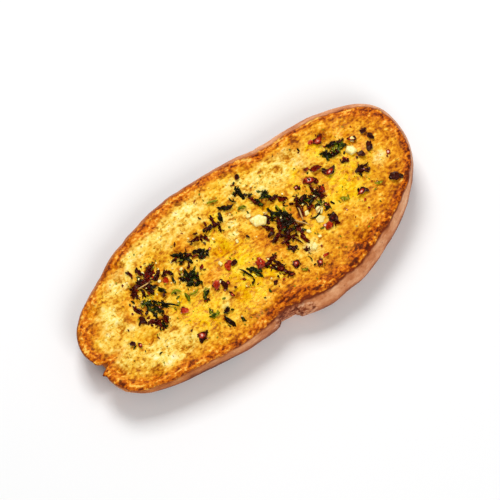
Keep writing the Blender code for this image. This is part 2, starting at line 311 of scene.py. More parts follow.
BUTTER_PATCHES = (  # x, y and radius in mm
    (-8, 2, 9), (-3, -5, 8), (-10, -14, 8), (2, -13, 6), (45, -6, 9), (38, -4, 8), (52, 3, 6),
    (-30, -12, 8), (-33, -3, 6), (-22, -12, 5), (24, -8, 6), (-3, 14, 6), (30, 8, 5), (53, 14, 6),
    (40, 14, 6), (-40, 6, 5), (-12, -20, 6), (16, 6, 6),
)
CREAM_PATCHES = (  # crumb that stayed pale
    (24, 18, 7), (35, 14, 6), (-9, 24, 7), (-22, 23, 7), (-37, 22, 7), (-45, 19, 7), (-48, -14, 9),
    (-40, -15, 7), (-63, -8, 8), (-56, 6, 8), (7, 9, 4), (18, -16, 4), (-3, 6, 4), (57, -5, 4),
    (-20, -12, 4), (11, 20, 6), (30, 19, 6), (0, 12, 5), (-46, 16, 5), (-14, 20, 6), (17, 16, 5),
)
ORANGE_PATCHES = (  # crumb that toasted further than the rest
    (5, -2, 6), (7, -9, 5), (-16, -1, 5), (32, 0, 5), (60, 4, 8), (-45, 9, 4), (-31, 7, 4), (-18, 13, 6),
    (57, -11, 6), (20, -2, 6), (-41, -22, 4), (50, 10, 5), (-50, 4, 3),
)


def browning(gap, angle, x, y, base=BROWN_WIDTH, wider=BROWN_WIDER, seed=51):
    """Share of toasting: 1 at the rim falling to 0 at the direction's width, both wandering by noise."""
    width = by_direction(angle, base, wider) * MM
    width *= 1 + 0.4 * turned_noise(x, y, 6 * MM, seed) + 0.25 * turned_noise(x, y, 2.4 * MM, seed + 1)
    return np.clip(1 - gap / width, 0, 1)


def patches(x, y, places, seed):
    """Share of the patches: one minus the product of what every bell leaves bare, plus noise, cut off
    at 0 and 1 so that the edges wander."""
    bare = np.ones_like(x)
    for patch_x, patch_y, size in places:
        bare *= 1 - 0.9 * bell(np.hypot(x - patch_x * MM, y - patch_y * MM), size * 0.6 * MM)
    return np.clip(1.6 * (1 - bare) - 0.35 + 0.5 * turned_noise(x, y, 4.5 * MM, seed)
                   + 0.3 * turned_noise(x, y, 1.9 * MM, seed + 1), 0, 1)


print("patches of the crumb:", len(BUTTER_PATCHES), "buttered,", len(CREAM_PATCHES), "pale,",
      len(ORANGE_PATCHES), "toasted")

# %% [markdown]
# ## The bread itself
# The cut face is flat but rough, and needs points of the same density all over it. Rings round a
# middle point would crowd together there, so it is a square grid bent into the outline: with p and
# q from -1 to 1, the point (p sqrt(1 - q^2/2), q sqrt(1 - p^2/2)) fills a disc evenly, and the disc
# is stretched to the outline. From its border the crust runs down in rings, and the underside
# closes inwards. One closed mesh keeps the browned rim in one piece with the crust.

# %% Grid for the cut face
FACE_COLUMNS = 388
FACE_ROWS = 170
RAGGED = (0.45 * MM, 0.22 * MM)  # how far the rim wanders, in steps of 3.4 and 1.3 mm


def ragged_rim(x, y):
    """How far the rim stands out or in at a border point: two sizes of noise."""
    return RAGGED[0] * turned_noise(x, y, 3.4 * MM, 31) + RAGGED[1] * turned_noise(x, y, 1.3 * MM, 32)


p, q = np.meshgrid(np.linspace(-1, 1, FACE_COLUMNS + 1), np.linspace(-1, 1, FACE_ROWS + 1))
disc_x, disc_y = p * np.sqrt(1 - q * q / 2), q * np.sqrt(1 - p * p / 2)
reach, angle = np.hypot(disc_x, disc_y), np.arctan2(disc_y, disc_x)
radius = outline_radius(angle)
border_x, border_y = HALF_LENGTH * np.cos(angle) * radius, HALF_WIDTH * np.sin(angle) * radius
rim_wander = 1 + ragged_rim(border_x, border_y) / np.hypot(border_x, border_y) * reach**10
face_x, face_y = HALF_LENGTH * disc_x * radius, HALF_WIDTH * disc_y * radius
face_gap = rim_gap(reach, angle)
face_brown = browning(face_gap, angle, face_x, face_y)
face_warm = np.maximum(browning(face_gap, angle, face_x, face_y, WARM_WIDTH, WARM_WIDER, 55),
                       0.8 * patches(face_x, face_y, ORANGE_PATCHES, 59))
face_butter = patches(face_x, face_y, BUTTER_PATCHES, 53) * (1 - face_brown)
face_cream = patches(face_x, face_y, CREAM_PATCHES, 57) * (1 - face_brown)
fine, face_pore_shade = crumb_relief(face_x, face_y, 5)
# the crumb is flatter close to the rim, where it browned and where butter fills its pores
rim_calm = np.clip(face_gap / (1.6 * MM), 0.3, 1) * (0.56 - 0.1 * face_brown - 0.22 * face_butter)
pits = pit_depth(face_x, face_y)
face_z = broad_height(face_x, face_y, reach, angle) - pits + fine * rim_calm
# large pits are darkened as well: painted shade in their hollows
face_pore_shade = np.clip(face_pore_shade * rim_calm + pits / (4 * MM), 0, 1.3)  # large pits are dark as well
face_x, face_y = face_x * rim_wander, face_y * rim_wander
print("cut face", face_x.size, "points, relief from",
      round(float(fine.min() / MM), 2), "to", round(float(fine.max() / MM), 2), "mm")

# %% [markdown]
# ## Round the border
# The crust hangs from the border of the cut face, so it needs to know the way out at every border
# point. Taken from neighbouring points, that direction would jump about with the ragged rim. So
# the border is averaged first, each point with ten on either side, and the way out is square to
# the averaged line. The distance walked along it is kept too, for wrinkles and streaks.

# %% Border of the face
CALM_REACH = 10  # points averaged on either side
TANGENT_REACH = 4  # points on either side that the direction is taken from

index = np.arange(face_x.size).reshape(face_x.shape)
border = np.concatenate((index[0, :-1], index[:-1, -1], index[-1, :0:-1], index[:0:-1, 0]))
loop = np.column_stack((face_x.ravel()[border], face_y.ravel()[border]))
top = face_z.ravel()[border]
around = len(border)
calm = sum(np.roll(loop, k, axis=0) for k in range(-CALM_REACH, CALM_REACH + 1)) / (2 * CALM_REACH + 1)
tangent = np.roll(calm, -TANGENT_REACH, axis=0) - np.roll(calm, TANGENT_REACH, axis=0)
outward = np.column_stack((tangent[:, 1], -tangent[:, 0]))
outward /= np.linalg.norm(outward, axis=1)[:, None]
step = np.linalg.norm(np.roll(calm, -1, axis=0) - calm, axis=1)
arc = np.concatenate(([0], np.cumsum(step)[:-1]))
loop_angle = angle.ravel()[border]
print("border of", around, "points, girth", round(float(step.sum() / MM)), "mm")

# %% [markdown]
# ## Crust and underside
# A baguette's crust is smooth, bulges out below the cut, and has torn off in one place. It could be
# extruded from the border and pulled about by hand. Here each ring of it is the border moved
# outwards by a bulge, leaned towards the far end, and set back where it is torn. The underside is
# the same border drawn in step by step to its middle, with low pores pressed up into it so that it
# still rests flat.

# %% Rings of the crust
WALL_BULGE = 2.3 * MM
BULGE_SWELLS = (  # direction and half-width in degrees, and how much more the crust stands out there
    (-173, 8, -0.7), (-125, 16, -0.45), (-64, 9, 0.45), (-24, 12, -0.5), (35, 12, 0.75), (66, 12, 0.9),
)
WALL_LEAN_FAR = 0.8 * MM
WALL_LEAN_NEAR = 8.0 * MM
WALL_LEAN_SIDE = 0.3 * MM
WALL_ROUGH = 0.15 * MM
FOOT_ROUND = 1.3 * MM
SHOULDER = (3.0 * MM, 10.0 * MM, 3.0 * MM)  # centre and half-width along x, and how far it stands out
TEAR_X = 1.5 * MM
TEAR_END_X = -8.3 * MM
FLAP_SHARE = 0.75  # how much of the tear's depth the crust beyond its far end keeps
TEAR_DEPTH = 1.9 * MM
TEAR_RAMP = 2.0 * MM
WRINKLES_MM = ((0.06, 0.4, 1.6, 41), (0.03, 0.6, 0.8, 42))  # height, stretch along the rim, cell, seed
SMOOTH_FROM = 0.16  # the crust has lost the rim's ragged line this share of the way down
WALL_LEVELS = np.array([
    0.012, 0.03, 0.06, 0.1, 0.155, 0.22, 0.3, 0.39, 0.49, 0.59, 0.69, 0.78, 0.86, 0.93, 0.98, 1.0])
BASE_RINGS = np.array([0.985, 0.96, 0.92, 0.86, 0.79, 0.71, 0.62, 0.52, 0.42, 0.32, 0.22, 0.12, 0.05])


def torn_share(x, depth):
    """1 where the crust is torn back: a ramp in x that starts and ends along ragged lines."""
    ragged = 0.9 * MM * turned_noise(x, depth, 1.3 * MM, 43)
    share = np.clip((TEAR_X - x + ragged) / TEAR_RAMP, 0, 1)
    return share * (1 - FLAP_SHARE * np.clip((TEAR_END_X - x + ragged) / TEAR_RAMP, 0, 1))


def wall_rings(levels):
    """The crust, ring by ring: border + outward * bulge + lean * level, at height * (1 - level)."""
    level = levels[:, None]
    smooth = np.clip(level / SMOOTH_FROM, 0, 1)[..., None]
    x, y = np.moveaxis(loop + smooth * (calm - loop), -1, 0)
    out_y = outward[None, :, 1]
    near_share = np.clip(-x / HALF_LENGTH, 0, 1)
    lean = WALL_LEAN_FAR + (WALL_LEAN_NEAR - WALL_LEAN_FAR) * near_share
    arch = np.sin(math.pi * level**0.8)
    broad = WALL_ROUGH * smooth_noise(x + y, top * level * 1.5, 6 * MM, SEED + 2)
    depth = level * top[None, :]
    wrinkle = sum(tall * smooth_noise(arc * stretch + 0 * depth, depth, cell * MM, seed, LARGE_LATTICE)
                  for tall, stretch, cell, seed in WRINKLES_MM)
    low_side = (y < 0) * np.clip((-0.5 - out_y) / 0.2, 0, 1)  # 1 where the crust faces -Y
    shoulder = SHOULDER[2] * bell(x - SHOULDER[0], SHOULDER[1])
    torn = TEAR_DEPTH * torn_share(x, depth)
    foot = FOOT_ROUND * np.clip((level - 0.8) / 0.2, 0, 1) ** 2
    swell = by_direction(loop_angle, 1.0, BULGE_SWELLS)
    bulge = (WALL_BULGE * swell + broad) * arch + wrinkle * MM * np.clip(level / 0.1, 0, 1)
    bulge = bulge + low_side * (shoulder - torn) * np.clip(level / 0.3, 0, 1) - foot
    return np.stack((x + outward[None, :, 0] * bulge + level * lean,
                     y + out_y * bulge + level * WALL_LEAN_SIDE,
                     top * (1 - level)), axis=-1)


wall = wall_rings(WALL_LEVELS)
middle = wall[-1].mean(axis=0)
base = middle + (wall[-1] - middle) * BASE_RINGS[:, None, None]
base_fine, base_pore_shade = crumb_relief(base[..., 0], base[..., 1], 61)
base[..., 2] = np.clip(-base_fine, 0, 0.6 * MM) * np.clip((1 - BASE_RINGS) / 0.06, 0, 1)[:, None]
print("crust", len(WALL_LEVELS), "rings, underside", len(BASE_RINGS), "rings")

# %% [markdown]
# ## Browning of the crust and the underside
# The crust browns with the rim above it, and shows rough crumb where it is torn. The underside is a
# cut face too, browned at its own edge. They could have materials of their own, but then a hard
# line would part them. So they take the same fields as the face, from their own distances.

# %% Fields beyond the face
order = np.argsort(loop_angle)
face_arc = np.interp(angle, loop_angle[order], arc[order], period=2 * math.pi)
face_streak = 0.6 * smooth_noise(face_arc, face_gap * 5, 5 * MM, 71, LARGE_LATTICE)
face_streak += 0.5 * smooth_noise(face_arc, face_gap * 3.6, 2.4 * MM, 72, LARGE_LATTICE)
face_streak *= np.clip(1.1 - face_gap / (9 * MM), 0, 1)  # streaks run along the rim and fade inwards
burnt_rim = by_direction(angle, BURNT_LEAST, BURNT_RIM)
burnt_loop = burnt_rim.ravel()[border]
pink_loop = by_direction(loop_angle, 0.0, PINK_CRUST)
wall_x, wall_depth = wall[..., 0], WALL_LEVELS[:, None] * top
tear_x = wall_x + 3.5 * MM * turned_noise(wall_x * 0.4, wall_depth, 4 * MM, 44)  # ragged, for colour
wall_torn = torn_share(tear_x, wall_depth) * np.clip((tear_x - TEAR_END_X) / TEAR_RAMP + 1.2, 0, 1)
# the edge of the tear is darkened: partly scorched crumb, partly painted shade in the step
tear_end = bell(tear_x - TEAR_X - MM, 1.2 * MM) * np.clip(wall_depth / (4 * MM), 0, 1)
wall_torn = (np.clip(wall_torn, 0, 1) + tear_end) * (wall[..., 1] < 0)
wall_torn *= np.clip(1.8 - wall_depth / (8 * MM), 0.45, 1)  # less crumb is bared lower down
base_gap = (1 - BASE_RINGS)[:, None] * np.hypot(*(wall[-1] - middle)[:, :2].T)[None, :]
base_angle = np.broadcast_to(loop_angle, base_gap.shape)
base_brown = browning(base_gap * 0.6, base_angle, base[..., 0], base[..., 1])
print("browned share of the face:", round(float((face_brown > 0.2).mean()), 2),
      " buttered:", round(float(face_butter.mean()), 2))

# %% [markdown]
# ## Putting the bread together
# All points go into one mesh: the face's grid, the crust's rings, the underside's rings and one
# middle point. The parts could be joined as objects and their seams merged, but rings that share
# the border's own points need no merging. The mesh is then moved by the same step as the model's,
# so that its box stands over the origin.

# %% Bread mesh
def ring_quads(upper, lower):
    """Quads between two rings of the same length, facing away from the bread."""
    return np.column_stack((upper, lower, np.roll(lower, -1), np.roll(upper, -1)))


points = np.concatenate((
    np.column_stack((face_x.ravel(), face_y.ravel(), face_z.ravel())),
    wall.reshape(-1, 3), base.reshape(-1, 3), [(*middle[:2], 0.3 * MM)],
))
face_quads = np.column_stack((index[:-1, :-1].ravel(), index[:-1, 1:].ravel(),
                              index[1:, 1:].ravel(), index[1:, :-1].ravel()))
rings = [border, *(face_x.size + np.arange(len(wall) + len(base))[:, None] * around + np.arange(around))]
side_quads = np.concatenate([ring_quads(a, b) for a, b in zip(rings, rings[1:])])
centre = len(points) - 1
fan = np.column_stack((rings[-1], np.full(around, centre), np.roll(rings[-1], -1)))

raw_low, raw_high = points.min(axis=0), points.max(axis=0)
shift = np.array([*((raw_low + raw_high) / 2)[:2], 0])
points -= shift
print(len(points), "points, moved by", (shift / MM).round(2), "mm")

# %% [markdown]
# ## Numbers carried by the points
# The finish has to know at every point how near the rim is, how deep the pore, how much butter
# sank in. An image could hold that, but it would need unwrapping. Attributes hold one number for
# each point of the mesh, and the shader reads them by name and blends them across each face. One
# helper makes every piece of this scene from arrays of points, faces and such numbers.

# %% Pieces from arrays, and the bread's fields
def mesh_piece(name, points, faces, attributes, finish, smooth=True):
    """A mesh object from arrays of points and faces, with one number a point for each attribute."""
    mesh = bpy.data.meshes.new(name)
    mesh.from_pydata(points.tolist(), [], [f for block in faces for f in block.tolist()])
    for label, values in attributes.items():
        mesh.attributes.new(label, "FLOAT", "POINT").data.foreach_set("value", values.astype(np.float32))
    mesh.materials.append(finish)
    (mesh.shade_smooth if smooth else mesh.shade_flat)()
    mesh.validate()
    piece = bpy.data.objects.new(name, mesh)
    bpy.context.scene.collection.objects.link(piece)
    print(name, sum(len(f.vertices) - 2 for f in mesh.polygons), "triangles")
    return piece


def flat(*parts):
    """Joins arrays of any shape into one row of numbers."""
    return np.concatenate([np.asarray(part, float).ravel() for part in parts])


# each field is one number a point, in the order of the points: face, crust, underside, middle
# "edge" is the distance in from the rim in mm, below nought on the crust; "depth" is how far down
zero_wall, zero_base = np.zeros(wall.shape[:2]), np.zeros(base.shape[:2])
toast_wrap = by_direction(angle, TOAST_WRAP, TOAST_WRAPS)
bread_fields = {
    "edge": flat(face_gap / MM + toast_wrap, toast_wrap.ravel()[border] - wall_depth / MM,
                 base_gap / MM - 1.2, 30),
    "depth": flat(np.zeros_like(face_x), wall_depth / MM, zero_base + 18, 18),
    "torn": flat(np.zeros_like(face_x), wall_torn, zero_base, 0),
    "pore_shade": flat(face_pore_shade, zero_wall, base_pore_shade, 0),
    "brown": flat(face_brown, zero_wall + 1, base_brown, 0),
    "butter": flat(face_butter, zero_wall, zero_base, 0),
    "streak": flat(face_streak, zero_wall, zero_base, 0),
    "cream": flat(face_cream, zero_wall, zero_base + 0.4, 0),
    "warm": flat(face_warm, zero_wall + 1, base_brown, 0),
    "pink": flat(by_direction(angle, 0.0, PINK_CRUST), zero_wall + pink_loop, zero_base + 0.5, 0),
    "burnt": flat(burnt_rim, zero_wall + burnt_loop, zero_base + 0.2, 0),
}
print("fields of the bread:", *bread_fields)

# %% [markdown]
# ## Working with shader nodes
# Every finish here is one Principled shader fed by noise, ramps and the attributes above. Painted
# images could do it too, but they need unwrapping and blur when seen from near. Lists of nodes get
# long, so a few short helpers keep them readable. Colours are written as they look on a screen, 0
# to 255, and are turned into the linear light that the shader expects.

# %% Helpers for finishes
def screen(red, green, blue):
    """A screen colour as linear light: ((c + 0.055) / 1.055)^2.4, or c / 12.92 where it is dark."""
    c = np.array([red, green, blue]) / 255
    return (*np.where(c <= 0.04045, c / 12.92, ((c + 0.055) / 1.055) ** 2.4).tolist(), 1.0)


def new_finish(name, **plain):
    """A material with one Principled shader, and plain numbers on the shader's own sockets."""
    material = bpy.data.materials.new(name)
    material.use_nodes = True
    shader = material.node_tree.nodes["Principled BSDF"]
    for label, value in plain.items():
        shader.inputs[label.replace("_", " ")].default_value = value
    return material, material.node_tree, shader


def feed(tree, socket, value):
    """Gives a socket a number or colour, or links another node's output to it."""
    if isinstance(value, bpy.types.NodeSocket):
        tree.links.new(value, socket)
    else:
        socket.default_value = value


def field(tree, name):
    """The attribute of that name, one number a point."""
    node = tree.nodes.new("ShaderNodeAttribute")
    node.attribute_name = name
    return node.outputs["Fac"]


def maths(tree, how, *values, clamp=False):
    """One step of arithmetic."""
    node = tree.nodes.new("ShaderNodeMath")
    node.operation, node.use_clamp = how, clamp
    for socket, value in zip(node.inputs, values):
        feed(tree, socket, value)
    return node.outputs[0]


def between(tree, value, start, end, low=0.0, high=1.0):
    """Maps start..end to low..high with a soft S-curve, and holds the ends."""
    node = tree.nodes.new("ShaderNodeMapRange")
    node.interpolation_type = "SMOOTHSTEP"
    labels = ("Value", "From Min", "From Max", "To Min", "To Max")
    for label, number in zip(labels, (value, start, end, low, high)):
        feed(tree, node.inputs[label], number)
    return node.outputs[0]


print("the screen colour 204, 98, 0 is", [round(v, 3) for v in screen(204, 98, 0)], "as light")

# %% [markdown]
# ## Noise and colour in shaders
# Real surfaces vary at every size, and so do these: noise of a known size in millimetres moves a
# tone up and down, a ramp turns the tone into a colour, and shares lay one colour over another.
# Noise can also be placed by a picture's coordinates. The piece's own coordinates are used here,
# because then a millimetre is a millimetre all over it.

# %% Helpers for noise, colour and bumps
def grain(tree, size_mm, detail=2.0, stretch=(1, 1, 1)):
    """Noise from 0 to 1 whose bumps measure about size_mm, on the piece's own coordinates."""
    place = tree.nodes.new("ShaderNodeTexCoord").outputs["Object"]
    mapping = tree.nodes.new("ShaderNodeMapping")
    mapping.inputs["Scale"].default_value = stretch
    tree.links.new(place, mapping.inputs["Vector"])
    node = tree.nodes.new("ShaderNodeTexNoise")
    node.inputs["Scale"].default_value = 1 / (size_mm * MM)
    node.inputs["Detail"].default_value = detail
    tree.links.new(mapping.outputs[0], node.inputs["Vector"])
    return node.outputs["Fac"]


def colours(tree, value, *stops):
    """A ramp of colours: each stop is a place from 0 to 1 and a screen colour."""
    node = tree.nodes.new("ShaderNodeValToRGB")
    ramp = node.color_ramp
    while len(ramp.elements) < len(stops):
        ramp.elements.new(0.5)
    for element, (place, colour) in zip(ramp.elements, stops):
        element.position, element.color = place, screen(*colour)
    feed(tree, node.inputs["Fac"], value)
    return node.outputs["Color"]


def blend_colours(tree, share, under, over):
    """Lays one colour over another by a share from 0 to 1."""
    node = tree.nodes.new("ShaderNodeMix")
    node.data_type = "RGBA"
    feed(tree, node.inputs["Factor"], share)
    feed(tree, node.inputs[6], under)  # sockets 6 and 7 are the two colours, as they share their names
    feed(tree, node.inputs[7], over)
    return node.outputs[2]


def wander(tree, noise, reach, value):
    """Adds noise, centred on nought and stretched to the reach given, to a value."""
    return maths(tree, "MULTIPLY_ADD", maths(tree, "SUBTRACT", noise, 0.5), reach, value)


def bumpy(tree, shader, strength, tall_mm, height):
    """Fine bumps on the shader's surface, tall_mm high where the height given is 1."""
    node = tree.nodes.new("ShaderNodeBump")
    node.inputs["Strength"].default_value = strength
    node.inputs["Distance"].default_value = tall_mm * MM
    feed(tree, node.inputs["Height"], height)
    feed(tree, shader.inputs["Normal"], node.outputs["Normal"])


print("noise, ramps, blends and bumps are ready to use")

# %% [markdown]
# ## Toasted crumb
# Toasted crumb runs from dark orange in its pores to pale yellow on its tips, and paler or deeper
# where it stayed dry, where butter soaked in and where it was hottest. One ramp for the whole face
# would look like plastic. So each state has a ramp of its own, all read by one tone that is low in
# a pore and high on a tip, and the attributes blend the ramps. The dark of the pores is partly
# butter and partly painted shade.

# %% Colours of the crumb
bread_finish, tree, shader = new_finish(
    "toasted_bread", Metallic=0.0, Specular_IOR_Level=0.22, Specular_Tint=(1.0, 0.78, 0.4, 1.0))
pore_shade, edge, brown, butter = (field(tree, name) for name in ("pore_shade", "edge", "brown", "butter"))
burnt, depth, cream = (field(tree, name) for name in ("burnt", "depth", "cream"))
warm, pink = field(tree, "warm"), field(tree, "pink")
grain_2mm = grain(tree, 1.9, 3.0, stretch=(0.55, 1, 1))
grain_1mm = grain(tree, 0.95, 3.0, stretch=(0.75, 1, 1))
grain_half, grain_5mm = grain(tree, 0.4, 2.0), grain(tree, 5.0, 3.0)

# the tone wanders with three sizes of grain, follows the streaks, and sinks in the pores (partly butter,
# partly painted shade)
streak = field(tree, "streak")
tone = wander(tree, grain_1mm, 1.4, wander(tree, grain_2mm, 1.3, wander(tree, grain_5mm, 0.85, 0.54)))
tone = maths(tree, "MULTIPLY_ADD", streak, 0.26, tone)
tone = maths(tree, "MULTIPLY_ADD", pore_shade, -0.52, tone, clamp=True)
dry_crumb = colours(tree, tone, (0.0, (150, 74, 0)), (0.22, (206, 124, 6)), (0.44, (238, 172, 26)),
                    (0.68, (250, 202, 62)), (1.0, (255, 228, 116)))
pale_crumb = colours(tree, tone, (0.0, (168, 96, 8)), (0.22, (226, 162, 36)), (0.44, (250, 214, 92)),
                     (0.68, (255, 236, 140)), (1.0, (255, 250, 200)))
wet_crumb = colours(tree, tone, (0.0, (164, 86, 0)), (0.2, (214, 134, 0)), (0.45, (240, 176, 0)),
                    (0.72, (250, 204, 4)), (1.0, (255, 226, 56)))
golden = colours(tree, tone, (0.0, (118, 46, 0)), (0.22, (176, 86, 0)), (0.46, (220, 132, 4)),
                 (0.72, (244, 170, 30)), (1.0, (255, 212, 92)))
print("crumb: 4 ramps,", len(tree.nodes), "nodes so far")

# %% [markdown]
# ## Toasted rim
# Towards its rim the slice is toasted brown and in places charred, and a thin dark seam parts crumb
# from crust. Strips of darker geometry would show their edges. These are changes of colour that
# run into each other, so they are laid one over another by the distance from the rim, each with
# noise on its border. The order matters: butter over crumb, toast over butter, char over toast.

# %% Colours of the toasted rim
FRECKLE, SEAM = screen(126, 66, 0), screen(124, 40, 8)

# the rim's own tone has more contrast, and is darker where it is burnt
sharp = wander(tree, grain_half, 0.7, wander(tree, grain_1mm, 0.5, tone))
sharp = maths(tree, "MULTIPLY_ADD", streak, 0.22, sharp)
sharp = maths(tree, "MULTIPLY_ADD", burnt, -0.16, maths(tree, "ADD", sharp, 0.06), clamp=True)
toast = colours(tree, sharp, (0.0, (86, 18, 0)), (0.18, (150, 56, 0)), (0.45, (204, 98, 0)),
                (0.74, (236, 138, 16)), (1.0, (255, 198, 86)))
crumb = blend_colours(tree, cream, dry_crumb, pale_crumb)
crumb = blend_colours(tree, butter, crumb, wet_crumb)
crumb = blend_colours(tree, between(tree, wander(tree, grain_2mm, 1.0, warm), 0.05, 0.7), crumb, golden)
crumb = blend_colours(tree, between(tree, wander(tree, grain_2mm, 1.2, brown), 0.05, 0.6), crumb, toast)
freckle = maths(tree, "MULTIPLY", between(tree, grain(tree, 0.9, 1.0), 0.63, 0.7), 0.55)
crumb = blend_colours(tree, freckle, crumb, FRECKLE)
# char reaches in by millimetres where the coarse grain lets it, but only where the rim is burnt
char_share = maths(tree, "MULTIPLY", burnt, between(
    tree, wander(tree, grain(tree, 2.8, 2.0), 13.0, edge), 0.5, -1.1), clamp=True)
char = colours(tree, grain_1mm, (0.35, (58, 12, 2)), (0.65, (122, 40, 8)))
crumb = blend_colours(tree, char_share, crumb, char)
# the seam is the outermost half millimetre of the crumb, and stronger where the rim is burnt
seam_share = maths(tree, "MULTIPLY", between(tree, wander(tree, grain_1mm, 2.2, edge), 0.7, 0.1), maths(
    tree, "MULTIPLY_ADD", burnt, 0.55, 0.2), clamp=True)
crumb = blend_colours(tree, seam_share, crumb, SEAM)
print("crumb and rim:", len(tree.nodes), "nodes so far")

# %% [markdown]
# ## Crust
# The crust of a baguette is smooth and mottled, pinkish where it stayed pale and dark brown where
# it didn't, with specks, a dark upper edge, and reddish crumb bared where it has torn. It could be
# an object with a material of its own, but rim and crust have no sharp border on real bread. So
# its colour joins the crumb's in one material, by the same distance from the rim.

# %% Colours of the crust
SPECK, EDGE_CHAR = screen(128, 60, 28), screen(108, 34, 10)

# the crust's tone is mottled, lighter close under the rim and darker from 4 to 8.5 mm below it;
# the darker part is partly a browner lower crust, partly painted shade where the crust curves under
mottle = wander(tree, grain(tree, 2.4, 3.0, stretch=(0.55, 0.55, 1.0)), 0.45, grain(tree, 8.0, 3.0))
crust_tone = maths(tree, "ADD", mottle, between(tree, depth, 4.0, 8.5, 0.14, -0.3))
crust_tone = wander(tree, grain_1mm, 0.4, crust_tone)
pink_crust = colours(tree, crust_tone, (0.0, (112, 52, 24)), (0.3, (172, 94, 52)), (0.55, (208, 130, 82)),
                     (0.8, (238, 172, 124)), (1.0, (252, 208, 166)))
brown_crust = colours(tree, crust_tone, (0.0, (82, 28, 6)), (0.35, (142, 64, 18)), (0.65, (188, 102, 38)),
                      (1.0, (222, 146, 74)))
crust = blend_colours(tree, pink, brown_crust, pink_crust)
# where it is torn the inner crumb shows, darkest at the very edge of the tear, partly as scorched
# crumb and partly as painted shade in the step of the tear
torn = field(tree, "torn")
bared = between(tree, wander(tree, grain_2mm, 1.6, torn), 0.35, 0.8)
inner_tone = maths(tree, "MULTIPLY_ADD", between(tree, torn, 0.85, 1.4), -0.7, wander(
    tree, grain_1mm, 1.3, grain_2mm), clamp=True)
inner_crumb = colours(tree, inner_tone, (0.12, (74, 18, 8)), (0.34, (134, 58, 30)),
                      (0.55, (190, 116, 76)), (0.8, (236, 180, 138)))
crust = blend_colours(tree, bared, crust, inner_crumb)
speck = between(tree, grain(tree, 1.1, 2.0), 0.62, 0.72)
crust = blend_colours(tree, maths(tree, "MULTIPLY", speck, 0.45), crust, SPECK)
edge_char = maths(tree, "MULTIPLY", between(tree, wander(tree, grain_2mm, 1.6, edge), -0.9, 0.2), maths(
    tree, "MULTIPLY", burnt, 0.8), clamp=True)
crust = blend_colours(tree, edge_char, crust, EDGE_CHAR)
# crumb ends and crust begins where the distance from the rim passes nought
crust_share = between(tree, wander(tree, grain_1mm, 1.2, edge), 0.25, -0.25)
feed(tree, shader.inputs["Base Color"], blend_colours(tree, crust_share, crumb, crust))
print("crumb, rim and crust:", len(tree.nodes), "nodes so far")

# %% [markdown]
# ## Gloss and fine bumps, and the finished bread
# Butter makes crumb shine a little, and crust is duller. Grain finer than a third of a millimetre
# would need millions of faces. A bump node only tilts the light, which at this size looks the
# same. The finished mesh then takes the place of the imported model's one node.

# %% Gloss, bumps and the piece
# roughness is 0.58 where the crumb is dry, 0.28 where it is buttered, and at least 0.6 on the crust
gloss = wander(tree, grain_half, 0.3, maths(tree, "MULTIPLY_ADD", butter, -0.3, 0.58))
gloss = maths(tree, "MAXIMUM", gloss, maths(tree, "MULTIPLY", crust_share, 0.6), clamp=True)
feed(tree, shader.inputs["Roughness"], gloss)
bumpy(tree, shader, 0.5, 0.25, maths(tree, "ADD", grain_1mm, maths(tree, "MULTIPLY", grain_half, 0.6)))

bread = mesh_piece("toasted_slice", points, (face_quads, side_quads, fan), bread_fields, bread_finish)
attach(bread, "root")
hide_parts(NODE)

# %% [markdown]
# ## Toppings as bent flattened balls
# Leaf, flake, strip and garlic all start as the same closed form: rings of points between two
# poles, like a ball pressed flat. Its outline, its bends and its turn then make it a leaf or a
# flake. A particle system could strew copies of a few bits, but then the copies show, and here
# many have a place of their own. So all bits of a kind are worked out together as arrays, no two
# the same, and joined in one mesh.

# %% Closed bits, worked out together
def bit_faces(count, around, rings):
    """Triangles and quads of count closed bits, each a pole, some rings and a second pole."""
    ring = np.arange(rings)[:, None] * around + np.arange(around) + 1
    turned = np.roll(ring, -1, axis=1)
    quads = np.stack((ring[:-1], ring[1:], turned[1:], turned[:-1]), axis=-1).reshape(-1, 4)
    last = rings * around + 1
    tris = np.concatenate((
        np.column_stack((np.zeros(around, int), ring[0], turned[0])),
        np.column_stack((np.full(around, last), turned[-1], ring[-1])),
    ))
    offset = np.arange(count)[:, None, None] * (last + 1)
    return (quads + offset).reshape(-1, 4), (tris + offset).reshape(-1, 3)


def flat_balls(outline, half_thick, profile):
    """Flattened balls: each ring is the outline times its share, at its share of the thickness."""
    count, around = outline.shape
    turn = np.linspace(0, 2 * math.pi, around, endpoint=False)
    share, level = np.array(profile).T
    x = outline[:, None, :] * np.cos(turn) * share[None, :, None]
    y = outline[:, None, :] * np.sin(turn) * share[None, :, None]
    z = np.broadcast_to((half_thick[:, None] * level)[:, :, None], x.shape)
    body = np.stack((x, y, z), axis=-1).reshape(count, -1, 3)
    pole = np.zeros((count, 1, 3))
    pole[:, 0, 2] = half_thick
    return np.concatenate((pole, body, -pole), axis=1)


print("a flake of 9 corners has", sum(map(len, bit_faces(1, 9, 4))), "faces")

# %% [markdown]
# ## Turning the bits and laying them on the face
# Bits fall any way round and come to rest on the crumb, a little tilted. A physics run could drop
# them, but not onto places that were chosen. So each is turned by three angles, set at its place,
# and raised by the height of the face under it. A thin leaf sinks to the form below it, so most of
# that height is taken point by point, and the rest from the bit's middle.

# %% Turning and laying
DRAPE = 0.8  # 1 would bend each bit to the face's slopes, 0 would leave it stiff


